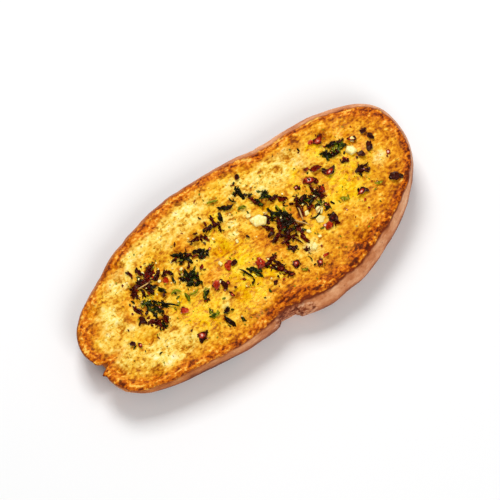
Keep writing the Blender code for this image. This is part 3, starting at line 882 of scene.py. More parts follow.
def turn_bits(local, yaw, tilt, lean):
    """Turns each bit: tipped by tilt about the direction lean, then spun by yaw about the upright."""
    cy, sy, ct, st, cl, sl = (f(a) for a in (yaw, tilt, lean) for f in (np.cos, np.sin))
    zero, one = np.zeros_like(yaw), np.ones_like(yaw)
    spin = np.array([[cy, -sy, zero], [sy, cy, zero], [zero, zero, one]]).transpose(2, 0, 1)
    tip = np.array([[one, zero, zero], [zero, ct, -st], [zero, st, ct]]).transpose(2, 0, 1)
    aside = np.array([[cl, -sl, zero], [sl, cl, zero], [zero, zero, one]]).transpose(2, 0, 1)
    return local @ (spin @ aside @ tip @ aside.transpose(0, 2, 1)).transpose(0, 2, 1)


def any_way(count, most_tilt, rng):
    """Random turns: any yaw, a tilt from nought to the most given, and any lean."""
    return rng.uniform(0, 6.3, count), rng.uniform(0, most_tilt, count), rng.uniform(0, 6.3, count)


def surface_at(x, y):
    """Height of the face's broad form at any place, or at the outline for a place beyond it."""
    across, up = x / HALF_LENGTH, y / HALF_WIDTH
    angle = np.arctan2(up, across)
    reach = np.clip(np.hypot(across, up) / outline_radius(angle), 0, 1)
    return broad_height(x, y, reach, angle)


def lay_bits(local, x, y, lift):
    """Puts bits on the face: every point follows the face's height under it by the share DRAPE."""
    placed = local + np.stack((x, y, 0 * x), axis=-1)[:, None, :]
    under = surface_at(placed[..., 0], placed[..., 1])
    placed[..., 2] += DRAPE * under + (1 - DRAPE) * surface_at(x, y)[:, None] + lift[:, None]
    return placed - shift


def per_point(values, placed):
    """One number for every point of each bit."""
    return np.repeat(values, placed.shape[1])


print("face stands", round(float(surface_at(np.zeros(1), np.zeros(1))[0] / MM), 1), "mm high in its middle")

# %% [markdown]
# ## Where the parsley lies
# Chopped parsley lies in heaps of curled strips of leaf that cross each other, nearly black where
# the oven caught them. Strewn at random, the heaps would be lost. So the large strips have places
# read off the photograph, in whole millimetres, with a heading and a shade each.

# %% Parsley places
rng = np.random.default_rng(SEED)
MAROON, BLACK, GREEN, OLIVE, TAN = 0.25, 0.48, 0.58, 0.82, 1.0  # shades along the parsley's ramp
PARSLEY_MM = (  # x, y, half length, heading in degrees and shade of each large strip
    (-40, 16, 1.5, -80, MAROON), (-37, 15, 1.8, -82, MAROON), (-33, 14, 3.3, 33, MAROON),
    (-34, 13, 2.2, 40, MAROON), (-39, 12, 1.7, 80, BLACK), (-36, 12, 1.5, 50, MAROON),
    (-34, 12, 2.0, 10, MAROON), (-31, 11, 1.1, 35, MAROON), (-33, 10, 2.0, 25, MAROON),
    (-41, 11, 2.2, 0, MAROON), (-37, 11, 2.4, -2, MAROON), (-43, 10, 1.9, 45, MAROON),
    (-43, 8, 1.0, 60, MAROON), (-40, 8, 2.3, 80, MAROON), (-38, 7, 2.0, -80, MAROON),
    (-37, 8, 2.2, -45, BLACK), (-35, 5, 1.8, -65, BLACK), (-35, 3, 0.9, 60, MAROON),
    (-46, 4, 2.4, -80, MAROON), (-43, 5, 1.5, 20, OLIVE), (-42, 4, 1.8, -15, GREEN),
    (-41, 2, 1.9, -40, GREEN), (-39, 2, 1.3, -50, BLACK), (-37, 1, 1.0, 60, BLACK),
    (-37, -1, 1.5, -45, BLACK), (-47, -1, 1.4, -60, MAROON), (-44, 1, 0.9, 45, MAROON),
    (-42, 1, 1.7, -45, GREEN), (-42, -1, 1.3, 80, BLACK), (-40, -1, 1.2, -60, BLACK),
    (-44, -3, 2.6, -25, MAROON), (-43, -5, 1.6, -40, MAROON), (-40, -5, 1.9, 75, MAROON),
    (-42, -6, 1.5, -60, BLACK), (-43, -7, 1.2, 15, MAROON), (-30, 9, 1.6, 40, MAROON),
    (-28, 8, 1.4, -70, MAROON), (-29, 5, 1.4, 75, BLACK), (-24, 11, 1.4, 0, MAROON),
    (-22, 12, 2.2, -30, BLACK), (-21, 10, 1.9, -75, BLACK), (-22, 9, 1.4, 20, GREEN),
    (-19, 10, 1.6, -60, BLACK), (-20, 8, 1.5, -70, BLACK), (-21, 6, 1.3, 40, MAROON),
    (-16, 9, 1.4, -30, BLACK), (-15, 7, 1.9, 20, GREEN), (-14, 8, 1.2, -60, BLACK),
    (-15, 6, 1.5, 0, GREEN), (-13, 6, 1.1, 60, BLACK), (-26, 4, 1.8, 35, BLACK), (-25, 5, 1.2, 60, OLIVE),
    (-24, 4, 1.8, 70, GREEN), (-22, 3, 1.8, 20, BLACK), (-22, 1, 1.7, -60, GREEN),
    (-25, 2, 1.8, -55, BLACK), (-25, 0, 1.5, -30, BLACK), (-22, -1, 1.5, -75, BLACK),
    (-23, -1, 1.3, 20, BLACK), (-24, 1, 1.5, 10, GREEN), (-23, -6, 1.9, 20, GREEN),
    (-24, -8, 1.3, -30, MAROON), (-22, -5, 1.2, 0, OLIVE), (-26, -13, 1.6, 80, OLIVE),
    (-25, -15, 1.5, 10, OLIVE), (-21, -16, 1.5, 20, BLACK), (-23, -20, 2.6, -78, BLACK),
    (-19, -22, 1.2, -80, BLACK), (-14, 13, 2.3, -6, MAROON), (-10, 11, 1.8, -65, MAROON),
    (-10, 11, 1.1, 60, MAROON), (-6, 13, 3.3, -2, MAROON), (-7, 15, 0.9, 65, MAROON),
    (-4, 14, 2.2, 84, MAROON), (-4, 10, 1.3, 60, MAROON), (-1, 14, 1.6, 60, BLACK),
    (1, 16, 1.4, -40, BLACK), (3, 15, 2.1, -28, BLACK), (9, 18, 1.9, 24, BLACK), (10, 16, 1.9, -80, BLACK),
    (12, 14, 1.0, 5, GREEN), (7, 12, 1.4, 0, OLIVE), (12, 12, 1.7, -77, MAROON), (13, 10, 1.9, -77, BLACK),
    (16, 11, 1.8, 20, GREEN), (17, 11, 1.3, -10, BLACK), (17, 10, 1.5, -60, GREEN),
    (18, 8, 1.8, -15, MAROON), (20, 6, 2.2, -60, MAROON), (14, 5, 1.0, -80, BLACK),
    (14, 3, 1.6, 20, GREEN), (15, 3, 1.5, -50, BLACK), (13, 2, 1.2, 60, BLACK), (17, 1, 1.7, -30, BLACK),
    (18, 0, 2.1, -35, BLACK), (17, -1, 1.7, 60, BLACK), (18, -2, 2.0, -75, BLACK),
    (16, -3, 2.2, -20, BLACK), (15, -4, 1.5, 10, BLACK), (18, -4, 1.2, 50, MAROON),
    (14, -1, 1.6, 70, MAROON), (13, -3, 1.5, 80, MAROON), (16, -1, 1.5, -20, MAROON),
    (9, 1, 1.4, -65, MAROON), (10, -1, 1.4, -50, MAROON), (11, 2, 1.2, 70, MAROON),
    (10, -5, 2.6, 25, MAROON), (12, -6, 1.4, -30, MAROON), (12, -8, 2.5, 5, MAROON),
    (15, -8, 1.6, -10, MAROON), (12, -11, 1.9, -50, MAROON), (12, -12, 1.3, 10, MAROON),
    (11, -10, 1.2, 60, MAROON), (18, -7, 2.0, -85, MAROON), (17, -11, 2.4, -85, MAROON),
    (16, -6, 1.6, -20, BLACK), (16, -15, 0.9, -60, MAROON), (-4, -10, 2.6, -55, GREEN),
    (-4, -12, 1.6, -60, GREEN), (-5, -9, 1.3, 20, BLACK), (-7, -13, 0.9, 20, BLACK),
    (1, -11, 1.6, 10, MAROON), (4, -10, 2.4, 14, MAROON), (2, -13, 1.9, -50, MAROON),
    (3, -15, 2.2, -60, MAROON), (4, -17, 2.2, -65, MAROON), (4, -15, 1.4, 60, MAROON),
    (5, -19, 1.3, -40, MAROON), (3, -13, 1.0, 0, MAROON), (10, -21, 1.2, -40, OLIVE),
    (8, -17, 0.9, -70, MAROON), (9, -18, 1.2, 5, MAROON), (-1, -18, 1.0, 25, MAROON),
    (23, -1, 2.2, 68, MAROON), (26, 1, 1.9, 0, BLACK), (25, 0, 1.3, -30, BLACK), (27, 0, 1.6, -50, GREEN),
    (29, -1, 1.6, -70, BLACK), (31, 2, 1.3, 75, MAROON), (31, -1, 1.8, -80, BLACK),
    (28, -2, 1.4, 15, BLACK), (29, -4, 1.8, 10, GREEN), (30, -5, 1.1, 0, OLIVE), (26, -3, 1.4, 0, MAROON),
    (31, -7, 1.3, -40, BLACK), (30, -11, 1.6, -88, BLACK), (30, -13, 1.7, 85, MAROON),
    (43, 10, 1.6, 10, BLACK), (44, 9, 1.9, -40, BLACK), (43, 8, 1.3, 60, GREEN), (47, 11, 1.9, 0, BLACK),
    (46, 7, 2.4, 0, BLACK), (48, 9, 1.7, -30, OLIVE), (50, 9, 1.5, 60, GREEN), (50, 8, 1.3, 0, GREEN),
    (38, -8, 1.6, -25, OLIVE), (51, -11, 1.5, -25, OLIVE), (48, -5, 0.8, 60, BLACK),
    (32, 5, 1.4, 60, MAROON), (34, 4, 1.0, -30, MAROON), (33, 0, 1.7, 45, MAROON),
    (32, -3, 1.2, 10, MAROON), (24, 2, 1.2, 40, MAROON), (22, 2, 1.0, -40, MAROON),
    (43, 9, 1.7, 80, BLACK), (47, 9, 1.6, 20, 0.7), (49, 9, 1.5, -50, 0.7), (48, 8, 1.4, 60, 0.66),
    (49, 10, 1.2, 10, GREEN), (17, -2, 2.0, 0, BLACK), (17, 0, 1.8, 80, BLACK), (15, -2, 1.7, 40, BLACK),
    (16, 2, 1.6, 10, GREEN), (18, -3, 1.4, -30, BLACK), (14, -4, 1.4, 60, MAROON),
    (14, -6, 1.6, 20, MAROON),
)
print(len(PARSLEY_MM), "large strips")

# %% [markdown]
# ## Smaller strips and scraps about them
# A heap has far more bits than can be told apart in the photograph, and single scraps lie between
# the heaps. Giving each a place by hand would be endless and no truer. So smaller strips are
# strewn across each large one, scraps around the heaps, and a few anywhere on the face.

# %% Smaller strips and scraps
SIDE_STRIPS = 5  # smaller strips lying across each large one
SIDE_FROM = 1.8  # mm: they take their size from the large one, up to this half length
NEAR_SCRAPS = 120  # small scraps strewn about the heaps
LOOSE_SCRAPS = 40
FACE_REACH = 0.8  # loose toppings keep within this share of the outline
SCATTER_MM = 3.2  # how far from a heap's strips the scraps near it lie


def strewn(places, each, rng):
    """Places along each row: centre + heading * share of its half length, plus a little sideways."""
    rows = np.repeat(np.array(places, float), each, axis=0)
    along = 0.9 * rows[:, 2] * rng.uniform(-1, 1, len(rows))
    aside = 0.28 * rows[:, 2] * rng.normal(0, 1, len(rows))
    c, s = np.cos(rows[:, 3] * DEG), np.sin(rows[:, 3] * DEG)
    return rows[:, 0] + c * along - s * aside, rows[:, 1] + s * along + c * aside, rows


def loose_places(count, rng, reach=FACE_REACH):
    """Random places spread evenly over the face: direction and the root of a random share."""
    turn = rng.uniform(-math.pi, math.pi, count)
    out = reach * np.sqrt(rng.uniform(0, 1, count)) * outline_radius(turn)
    return HALF_LENGTH / MM * out * np.cos(turn), HALF_WIDTH / MM * out * np.sin(turn)


def near_places(places, count, rng):
    """Random places round the heaps: a random strip's centre plus a bell-shaped scatter."""
    centre = np.array(places, float)[rng.integers(0, len(places), count)]
    return centre[:, 0] + rng.normal(0, SCATTER_MM, count), centre[:, 1] + rng.normal(0, SCATTER_MM, count)


large = np.array(PARSLEY_MM)
count = len(large)
side_x, side_y, side = strewn(PARSLEY_MM, SIDE_STRIPS, rng)
near_x, near_y = near_places(PARSLEY_MM, NEAR_SCRAPS, rng)
loose_x, loose_y = loose_places(LOOSE_SCRAPS, rng)
leaf_x = np.concatenate((large[:, 0] + rng.uniform(-0.3, 0.3, count), side_x, near_x, loose_x))
leaf_y = np.concatenate((large[:, 1] + rng.uniform(-0.3, 0.3, count), side_y, near_y, loose_y))
small = NEAR_SCRAPS + LOOSE_SCRAPS
side_size = np.minimum(side[:, 2], SIDE_FROM) * rng.uniform(0.25, 0.62, len(side))
leaf_size = np.concatenate((large[:, 2], side_size, rng.uniform(0.3, 0.9, small)))
leaf_yaw = np.concatenate((large[:, 3] * DEG, side[:, 3] * DEG + rng.normal(0, 0.8, len(side)),
                           rng.uniform(0, 6.3, small)))
leaf_tilt = np.concatenate((rng.uniform(0, 0.25, count), rng.uniform(0, 0.7, len(side)),
                            rng.uniform(0, 0.3, small)))
leaf_shade = np.concatenate((large[:, 4] + rng.normal(0, 0.05, count),
                             side[:, 4] + rng.normal(0, 0.1, len(side)), rng.uniform(0, 0.95, small)))
leaf_lift = np.concatenate((rng.uniform(0.15, 0.6, count), rng.uniform(0.1, 0.9, len(side)),
                            np.full(small, 0.1)))
# how wide a strip may be, in mm: only the large ones are held to it
leaf_wide = np.concatenate((rng.uniform(0.5, 0.85, count), np.full(len(side) + small, 9.0)))
print(len(side), "side strips,", small, "small scraps")

# %% [markdown]
# ## Parsley
# A flat card with a leaf's picture on it would be light, but it has no thickness and casts no
# shadow within a heap. So each strip is a thin closed form. Its outline is a blunt oval with three
# sizes of wave. It is bent sideways (with x squared), folded along its middle (its height grows
# with |y|), curled upwards (with x squared) and crumpled by waves. Its shade runs from red-brown
# through black to green and dry tan.

# %% Parsley scraps
STRIP_SIDES, SCRAP_SIDES = 24, 14  # the large strips get more points round their outline
LEAF_PROFILE = ((0.62, 0.9), (1.0, 0.0), (0.62, -0.9))


def leaf_bits(rows, sides, rng):
    """Strips of leaf: a blunt outline with waves, bent and curled with x^2, folded with |y|, crumpled."""
    size, wide, yaw, tilt, x, y, lift = (values[rows] for values in (
        leaf_size, leaf_wide, leaf_yaw, leaf_tilt, leaf_x, leaf_y, leaf_lift))
    count, turn = len(size), np.linspace(0, 2 * math.pi, sides, endpoint=False)
    wave = rng.uniform(0, 2 * math.pi, (3, count, 1))
    lobes = rng.integers(2, 6, (count, 1))
    blunt = (np.abs(np.cos(turn)) ** 2.5 + np.abs(np.sin(turn)) ** 2.5) ** -0.4
    outline = blunt * (1 + 0.17 * np.cos(lobes * turn + wave[0]) + 0.11 * np.cos(7 * turn + wave[1])
                       + 0.07 * np.cos(11 * turn + wave[2]))
    local = flat_balls(outline, 0.12 / np.maximum(size, 0.6), LEAF_PROFILE)
    u, v = local[..., 0].copy(), local[..., 1].copy()
    slim = np.minimum(wide / size, rng.uniform(0.3, 0.6, count))[:, None]
    fold, curl = rng.uniform(-0.2, 0.7, count), rng.uniform(-0.3, 0.3, count)
    crumple = rng.uniform(0.03, 0.12, count)
    phase = rng.uniform(0, 2 * math.pi, (2, count, 1))
    local[..., 2] += slim * fold[:, None] * np.abs(v) + curl[:, None] * u * u
    local[..., 2] += crumple[:, None] * np.sin(4 * u + phase[0]) * np.cos(5 * v + phase[1])
    local[..., 1] = v * slim + rng.uniform(-0.3, 0.3, count)[:, None] * u * u
    local = turn_bits(local * (size * MM)[:, None, None], yaw, tilt, rng.uniform(0, 6.3, count))
    return lay_bits(local, x * MM, y * MM, lift * MM)


leaf_strips = leaf_bits(slice(count), STRIP_SIDES, rng)
leaf_scraps = leaf_bits(slice(count, None), SCRAP_SIDES, rng)
leaf_points = np.concatenate((leaf_strips.reshape(-1, 3), leaf_scraps.reshape(-1, 3)))
scrap_start = leaf_strips.size // 3
leaf_rings = len(LEAF_PROFILE)
leaf_faces = (*bit_faces(count, STRIP_SIDES, leaf_rings),
              *(block + scrap_start for block in bit_faces(len(leaf_scraps), SCRAP_SIDES, leaf_rings)))
leaf_point_shade = np.concatenate((
    per_point(leaf_shade[:count], leaf_strips), per_point(leaf_shade[count:], leaf_scraps)))

parsley_finish, tree, shader = new_finish(
    "parsley", Metallic=0.0, Specular_IOR_Level=0.13, Specular_Tint=(1.0, 0.8, 0.6, 1.0))
leaf_tone = wander(tree, grain(tree, 0.7, 3.0), 0.45, field(tree, "shade"))
feed(tree, shader.inputs["Base Color"], colours(
    tree, leaf_tone, (0.0, (150, 36, 4)), (0.12, (104, 14, 0)), (0.24, (66, 2, 0)), (0.38, (32, 0, 0)),
    (0.48, (18, 12, 0)), (0.59, (20, 32, 2)), (0.7, (58, 72, 2)), (0.83, (146, 146, 4)),
    (0.9, (196, 170, 50)), (1.0, (214, 168, 104))))
feed(tree, shader.inputs["Roughness"], between(tree, grain(tree, 1.1), 0.3, 0.7, 0.12, 0.35))
bumpy(tree, shader, 0.6, 0.2, grain(tree, 0.5, 3.0))
parsley = mesh_piece("parsley", leaf_points, leaf_faces, {"shade": leaf_point_shade}, parsley_finish)
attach(parsley, "root")

# %% [markdown]
# ## Chilli
# Dried chilli comes as angular flakes, nearly black with a dark red glow, some bright red, some
# cupped, and some of the flakes are given a painted highlight, pale in the middle. Shaded smoothly
# they would look like beans, so they keep flat faces, and each catches the light on its own. The
# larger ones have their places, most of them towards the far end, and shards and small flakes are
# strewn beside them at random.

# %% Chilli flakes
DARK, RED, BRIGHT = 0.15, 0.42, 0.58  # shades along the chilli's ramp
CHILLI_MM = (  # x, y, radius and shade of each flake
    (44, 15, 2.5, DARK), (54, 8, 2.0, DARK), (59, 8, 1.6, DARK), (60, 5, 1.6, DARK), (57, 2, 1.8, DARK),
    (53, 1, 1.6, DARK), (47, 3, 1.6, DARK), (49, -3, 1.9, DARK), (51, -5, 1.1, DARK), (40, 3, 2.5, DARK),
    (37, 7, 2.3, RED), (32, 5, 2.2, 0.26), (33, -1, 2.0, RED), (44, -10, 2.2, DARK), (57, -13, 2.3, DARK),
    (30, -12, 2.0, DARK), (27, -13, 1.7, BRIGHT), (19, -21, 1.4, BRIGHT), (16, -22, 1.5, DARK),
    (9, -17, 1.8, DARK), (5, -19, 1.2, DARK), (-1, -9, 2.1, BRIGHT), (-10, -2, 1.8, BRIGHT),
    (-8, -3, 1.5, DARK), (-18, -6, 1.6, BRIGHT), (-16, -8, 1.9, DARK), (-33, -6, 1.6, BRIGHT),
    (-31, 7, 1.2, BRIGHT), (-18, 3, 1.1, RED), (-34, -18, 2.1, DARK), (-55, -5, 1.3, DARK),
    (-53, -7, 1.0, DARK), (-47, 0, 1.4, DARK), (13, 22, 1.3, DARK), (2, 2, 0.9, DARK),
    (-16, -12, 1.2, DARK), (27, 6, 1.0, DARK), (21, -6, 0.9, DARK), (15, -15, 1.1, DARK),
    (31, -6, 1.0, DARK), (-1, -18, 1.0, DARK), (1, -17, 0.8, DARK), (34, 9, 1.0, RED), (-9, -10, 0.8, RED),
    (61, -4, 1.0, RED),
)
MORE_FLAKES = 30
SHARD_FROM = 1.4  # mm: beside each flake larger than this lie two broken bits of it
FLAKE_CORNERS = 9
FLAKE_PROFILE = ((0.4, 1.0), (0.75, 1.0), (1.0, 0.2), (0.6, -1.0))
FLAKE_RISE = 0.33  # no flake rises more than this share of its radius
# the pale middle of these flakes is a painted highlight
PAINTED_GLINT_SHARE = 0.3  # share of the flakes that are cups, pale in the middle


def chilli_flakes(size, rng):
    """Angular flakes: uneven corners, folded with |y|, curled with x^2 and cupped with r^2."""
    count = len(size)
    corners = rng.uniform(0.6, 1.25, (count, FLAKE_CORNERS))
    local = flat_balls(corners, np.full(count, 0.1), FLAKE_PROFILE)
    out = np.hypot(local[..., 0], local[..., 1])
    fold, curl = rng.uniform(0, 0.5, count), rng.uniform(-0.35, 0.3, count)
    cup = rng.uniform(-0.2, 0.4, count)
    local[..., 2] += fold[:, None] * np.abs(local[..., 1]) + curl[:, None] * local[..., 0] ** 2
    local[..., 2] += cup[:, None] * out**2 + rng.uniform(-0.1, 0.1, local.shape[:2])
    local[..., 2] = FLAKE_RISE * np.tanh(local[..., 2] / FLAKE_RISE)
    # some flakes get a painted highlight: a pale middle on the dark flake
    painted_glint = (rng.uniform(size=count) < PAINTED_GLINT_SHARE)[:, None] * bell(out, 0.38)
    tone = 0.12 * local[..., 0] + 0.85 * painted_glint
    local[..., 1] *= rng.uniform(0.45, 0.95, count)[:, None]
    local *= (size * MM)[:, None, None]
    return turn_bits(local, *any_way(count, 0.35, rng)), tone


more_x, more_y = loose_places(MORE_FLAKES, rng)
more_size, more_shade = rng.uniform(0.35, 0.75, MORE_FLAKES), rng.uniform(0.1, 0.6, MORE_FLAKES)
more = np.column_stack((more_x, more_y, more_size, more_shade))
whole = np.array(CHILLI_MM)
shards = np.repeat(whole[whole[:, 2] > SHARD_FROM], 2, axis=0)
shards[:, :2] += shards[:, 2:3] * rng.uniform(-0.9, 0.9, (len(shards), 2))
shards[:, 2] *= rng.uniform(0.3, 0.6, len(shards))
shards[:, 3] += rng.normal(0.05, 0.2, len(shards))
flake_x, flake_y, flake_size, flake_shade = np.concatenate((whole, shards, more)).T
flakes, flake_tone = chilli_flakes(flake_size, rng)
flakes = lay_bits(flakes, flake_x * MM, flake_y * MM, 0.15 * MM + 0.12 * flake_size * MM)
flake_tone = (flake_shade[:, None] + flake_tone).ravel()

chilli_finish, tree, shader = new_finish(
    "dried_chilli", Metallic=0.0, Specular_IOR_Level=0.18, Specular_Tint=(1.0, 0.7, 0.5, 1.0))
chilli_tone = wander(tree, grain(tree, 0.9, 2.0), 0.65, field(tree, "shade"))
# the pale top of this ramp is the painted highlight in the middle of the flakes
feed(tree, shader.inputs["Base Color"], colours(
    tree, chilli_tone, (0.0, (32, 2, 0)), (0.3, (66, 6, 0)), (0.5, (128, 22, 0)), (0.68, (192, 44, 0)),
    (0.77, (206, 98, 66)), (0.86, (226, 166, 144)), (1.0, (240, 206, 188))))
feed(tree, shader.inputs["Roughness"], between(tree, grain(tree, 0.9), 0.3, 0.7, 0.25, 0.5))
flake_faces = bit_faces(len(flakes), FLAKE_CORNERS, len(FLAKE_PROFILE))
chilli = mesh_piece("chilli_flakes", flakes.reshape(-1, 3), flake_faces, {"shade": flake_tone},
                    chilli_finish, smooth=False)
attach(chilli, "root")

# %% [markdown]
# ## Strips of chilli skin
# Between the parsley lie thin, curled strips of chilli skin. A curve with a bevel could make each
# one, but has to be turned into a mesh before it can be exported. The same flattened ball does it:
# made very narrow, twisted, arched and bowed.

# %% Chilli strips
STRIPS_MM = (  # x, y, half length and heading in degrees of each row of strips
    (-35, 12, 5, 30), (-39, 9, 5, 60), (13, -8, 5, -50), (10, -4, 4, 20), (15, 1, 5, -40), (24, 1, 4, 50),
    (-19, 9, 4, -40), (4, -13, 4, -55), (28, -2, 4, 20), (37, 6, 3, -30), (-43, -3, 4, 60),
    (50, -3, 2, -50),
)
STRIPS_EACH = 3  # strips in a row
SKIN_SIDES = 12
SKIN_PROFILE = ((0.5, 1.0), (0.86, 0.8), (1.0, 0.0), (0.86, -0.8), (0.5, -1.0))


def chilli_strips(yaw, rng):
    """Thin strips: narrow flattened balls, arched with 1 - x^2, twisted with xy and bowed with x^2."""
    count = len(yaw)
    outline = 1 + 0.06 * rng.normal(0, 1, (count, SKIN_SIDES))
    local = flat_balls(outline, np.full(count, 0.12), SKIN_PROFILE)
    local[..., 1] *= rng.uniform(0.16, 0.3, count)[:, None]
    bow, arch = rng.uniform(-0.5, 0.5, count), rng.uniform(-0.1, 0.4, count)
    twist = rng.uniform(-0.4, 0.4, count)
    local[..., 2] += arch[:, None] * (1 - local[..., 0] ** 2)
    local[..., 2] += twist[:, None] * local[..., 0] * local[..., 1] * 4
    local[..., 1] += bow[:, None] * local[..., 0] ** 2
    local *= (rng.uniform(0.9, 2.0, count) * MM)[:, None, None]
    return turn_bits(local, yaw, rng.uniform(0, 0.4, count), rng.uniform(0, 6.3, count))


strip_x, strip_y, strip_rows = strewn(STRIPS_MM, STRIPS_EACH, rng)
strips = chilli_strips(strip_rows[:, 3] * DEG + rng.normal(0, 0.7, len(strip_x)), rng)
strips = lay_bits(strips, strip_x * MM, strip_y * MM, rng.uniform(0.2, 0.65, len(strip_x)) * MM)
strip_shade = per_point(rng.uniform(0, 0.42, len(strips)), strips)
strip_faces = bit_faces(len(strips), SKIN_SIDES, len(SKIN_PROFILE))
skin = mesh_piece("chilli_strips", strips.reshape(-1, 3), strip_faces, {"shade": strip_shade}, chilli_finish)
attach(skin, "root")

# %% [markdown]
# ## Stems
# Short pieces of parsley stem are round and bent, and stand up from the heap. A chain of capsules
# would show its joints. So circles of a tapering radius are carried along an arc, each square to
# it, and closed at both ends. Stems share the parsley's finish, as they are the same plant.

# %% Stems
STEMS_MM = (  # x, y, half length, heading in degrees, bend, shade and radius
    (-38, 10, 3.6, 2, 0.1, TAN, 0.34), (19, 7, 3.8, -35, -0.9, MAROON, 0.4),
    (26, -7, 3.2, -2, 0.5, BLACK, 0.36), (-31, 1, 2.6, -20, -0.9, OLIVE, 0.5),
    (-29, -3, 2.1, 73, 0.3, 0.74, 0.6), (0, 20, 2.5, -14, -0.4, OLIVE, 0.5),
    (24, 2, 2.7, 52, 0.2, MAROON, 0.35), (-36, -1, 4.6, -54, 0.2, BLACK, 0.4),
    (-7, -9, 3.5, -68, -0.4, BLACK, 0.4), (20, -5, 4.4, -70, 0.3, TAN, 0.3),
    (11, 5, 3.0, -20, 0.8, TAN, 0.3), (-26, -3, 2.4, -12, 0.4, OLIVE, 0.4),
    (-33, -3, 1.1, 10, 0.3, OLIVE, 0.4), (17, 4, 1.4, 80, 0.5, OLIVE, 0.36),
    (28, -6, 2.2, 10, -0.5, TAN, 0.3), (6, 16, 2.0, -70, 0.4, BLACK, 0.3),
    (15, -10, 3.2, -78, 0.2, MAROON, 0.35), (22, -3, 3.0, 70, 0.4, TAN, 0.3),
    (50, 10, 2.2, -20, 0.8, MAROON, 0.4),
)
STEM_STEPS, STEM_SIDES = 9, 6


def stems(rows, rng):
    """Thin round stems: circles of a tapering radius carried along an arc of the bend given."""
    count, along = len(rows), np.linspace(-1, 1, STEM_STEPS)
    turn = np.linspace(0, 2 * math.pi, STEM_SIDES, endpoint=False)
    length, bend, wave = rows[:, 2:3], rows[:, 4:5], rng.uniform(0, 6.3, (count, 1))
    heading = bend * along + 0.2 * np.sin(3 * along + wave)
    x = np.cumsum(np.cos(heading), axis=1) * 2 * length / STEM_STEPS
    y = np.cumsum(np.sin(heading), axis=1) * 2 * length / STEM_STEPS
    thick = rows[:, 6:7] * np.sqrt(1.06 - along**2)
    side = thick[:, :, None] * np.cos(turn)
    ring_x = x[:, :, None] - np.sin(heading)[:, :, None] * side
    ring_y = y[:, :, None] + np.cos(heading)[:, :, None] * side
    ring_z = thick[:, :, None] * np.sin(turn) + 0 * ring_x
    rings = np.stack((ring_x, ring_y, ring_z), axis=-1)
    start, end = rings[:, 0].mean(axis=1, keepdims=True), rings[:, -1].mean(axis=1, keepdims=True)
    local = np.concatenate((start, rings.reshape(count, -1, 3), end), axis=1)
    local[..., :2] -= local[..., :2].mean(axis=1, keepdims=True)
    return turn_bits(local * MM, rows[:, 3] * DEG, rng.uniform(0, 0.12, count), rng.uniform(0, 6.3, count))


stem_rows = np.array(STEMS_MM)
stalks = lay_bits(stems(stem_rows, rng), stem_rows[:, 0] * MM, stem_rows[:, 1] * MM,
                  rng.uniform(0.5, 1.0, len(stem_rows)) * MM)
stalk_quads, stalk_tris = bit_faces(len(stalks), STEM_SIDES, STEM_STEPS)
stalk = mesh_piece("parsley_stems", stalks.reshape(-1, 3), (stalk_quads[:, ::-1], stalk_tris[:, ::-1]),
                   {"shade": per_point(stem_rows[:, 5], stalks)}, parsley_finish)
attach(stalk, "root")

# %% [markdown]
# ## Garlic
# Chopped garlic lies as small cream-coloured lumps, a little see-through, half sunk in the crumb.
# Cubes with rounded edges would look too regular. A lump is a thick flattened ball whose outline
# is four or five straight cuts, made uneven, and one level of subdivision softens it. Light that
# scatters under its surface gives it its glow.

# %% Garlic lumps
GARLIC_PLACES_MM = (  # x, y and radius
    (9, 4, 2.8), (7, 8, 1.0), (51, 5, 1.9), (26, -9, 1.5), (28, -6, 1.6), (-24, 1, 0.6), (-12, 0, 1.0),
    (-2, 3, 0.7), (18, -16, 1.3), (-24, 7, 0.7), (-16, -6, 0.8), (54, 8, 1.0), (22, -14, 0.7),
    (24, -4, 1.0), (14, -2, 0.8), (-8, 9, 0.6), (-46, 6, 0.6), (20, -10, 0.9), (-36, 14, 0.7),
    (30, -1, 0.7), (-33, 8, 0.7),
)
CHUNK_PROFILE = ((0.55, 1.0), (0.86, 0.86), (1.0, 0.4), (1.02, -0.4), (0.8, -0.95))
CHUNK_SIDES = 24
# the garlic crumbs among the parsley also stand in for its glints: painted highlights
GLINT_GRAINS = 44  # crumbs of garlic among the parsley


def garlic_lumps(size, rng):
    """Chopped chunks: an outline of 4 or 5 straight cuts, cos(pi/n) / cos(t), uneven, with a flat top."""
    count, turn = len(size), np.linspace(0, 2 * math.pi, CHUNK_SIDES, endpoint=False)
    cuts = rng.integers(4, 6, (count, 1))
    wave = rng.uniform(0, 2 * math.pi, (3, count, 1))
    across = (turn + wave[0]) % (2 * math.pi / cuts) - math.pi / cuts
    outline = (np.cos(math.pi / cuts) / np.cos(across)) ** 1.4
    outline = (0.1 + 1.1 * outline) * (1 + 0.12 * np.cos(turn + wave[1]) + 0.1 * np.cos(2 * turn + wave[2]))
    local = flat_balls(outline, rng.uniform(0.3, 0.5, count), CHUNK_PROFILE)
    local *= 1 + rng.uniform(-0.05, 0.05, local.shape)
    local[..., 1] *= rng.uniform(0.75, 1.0, count)[:, None]
    local *= (size * MM)[:, None, None]
    return turn_bits(local, *any_way(count, 0.35, rng))


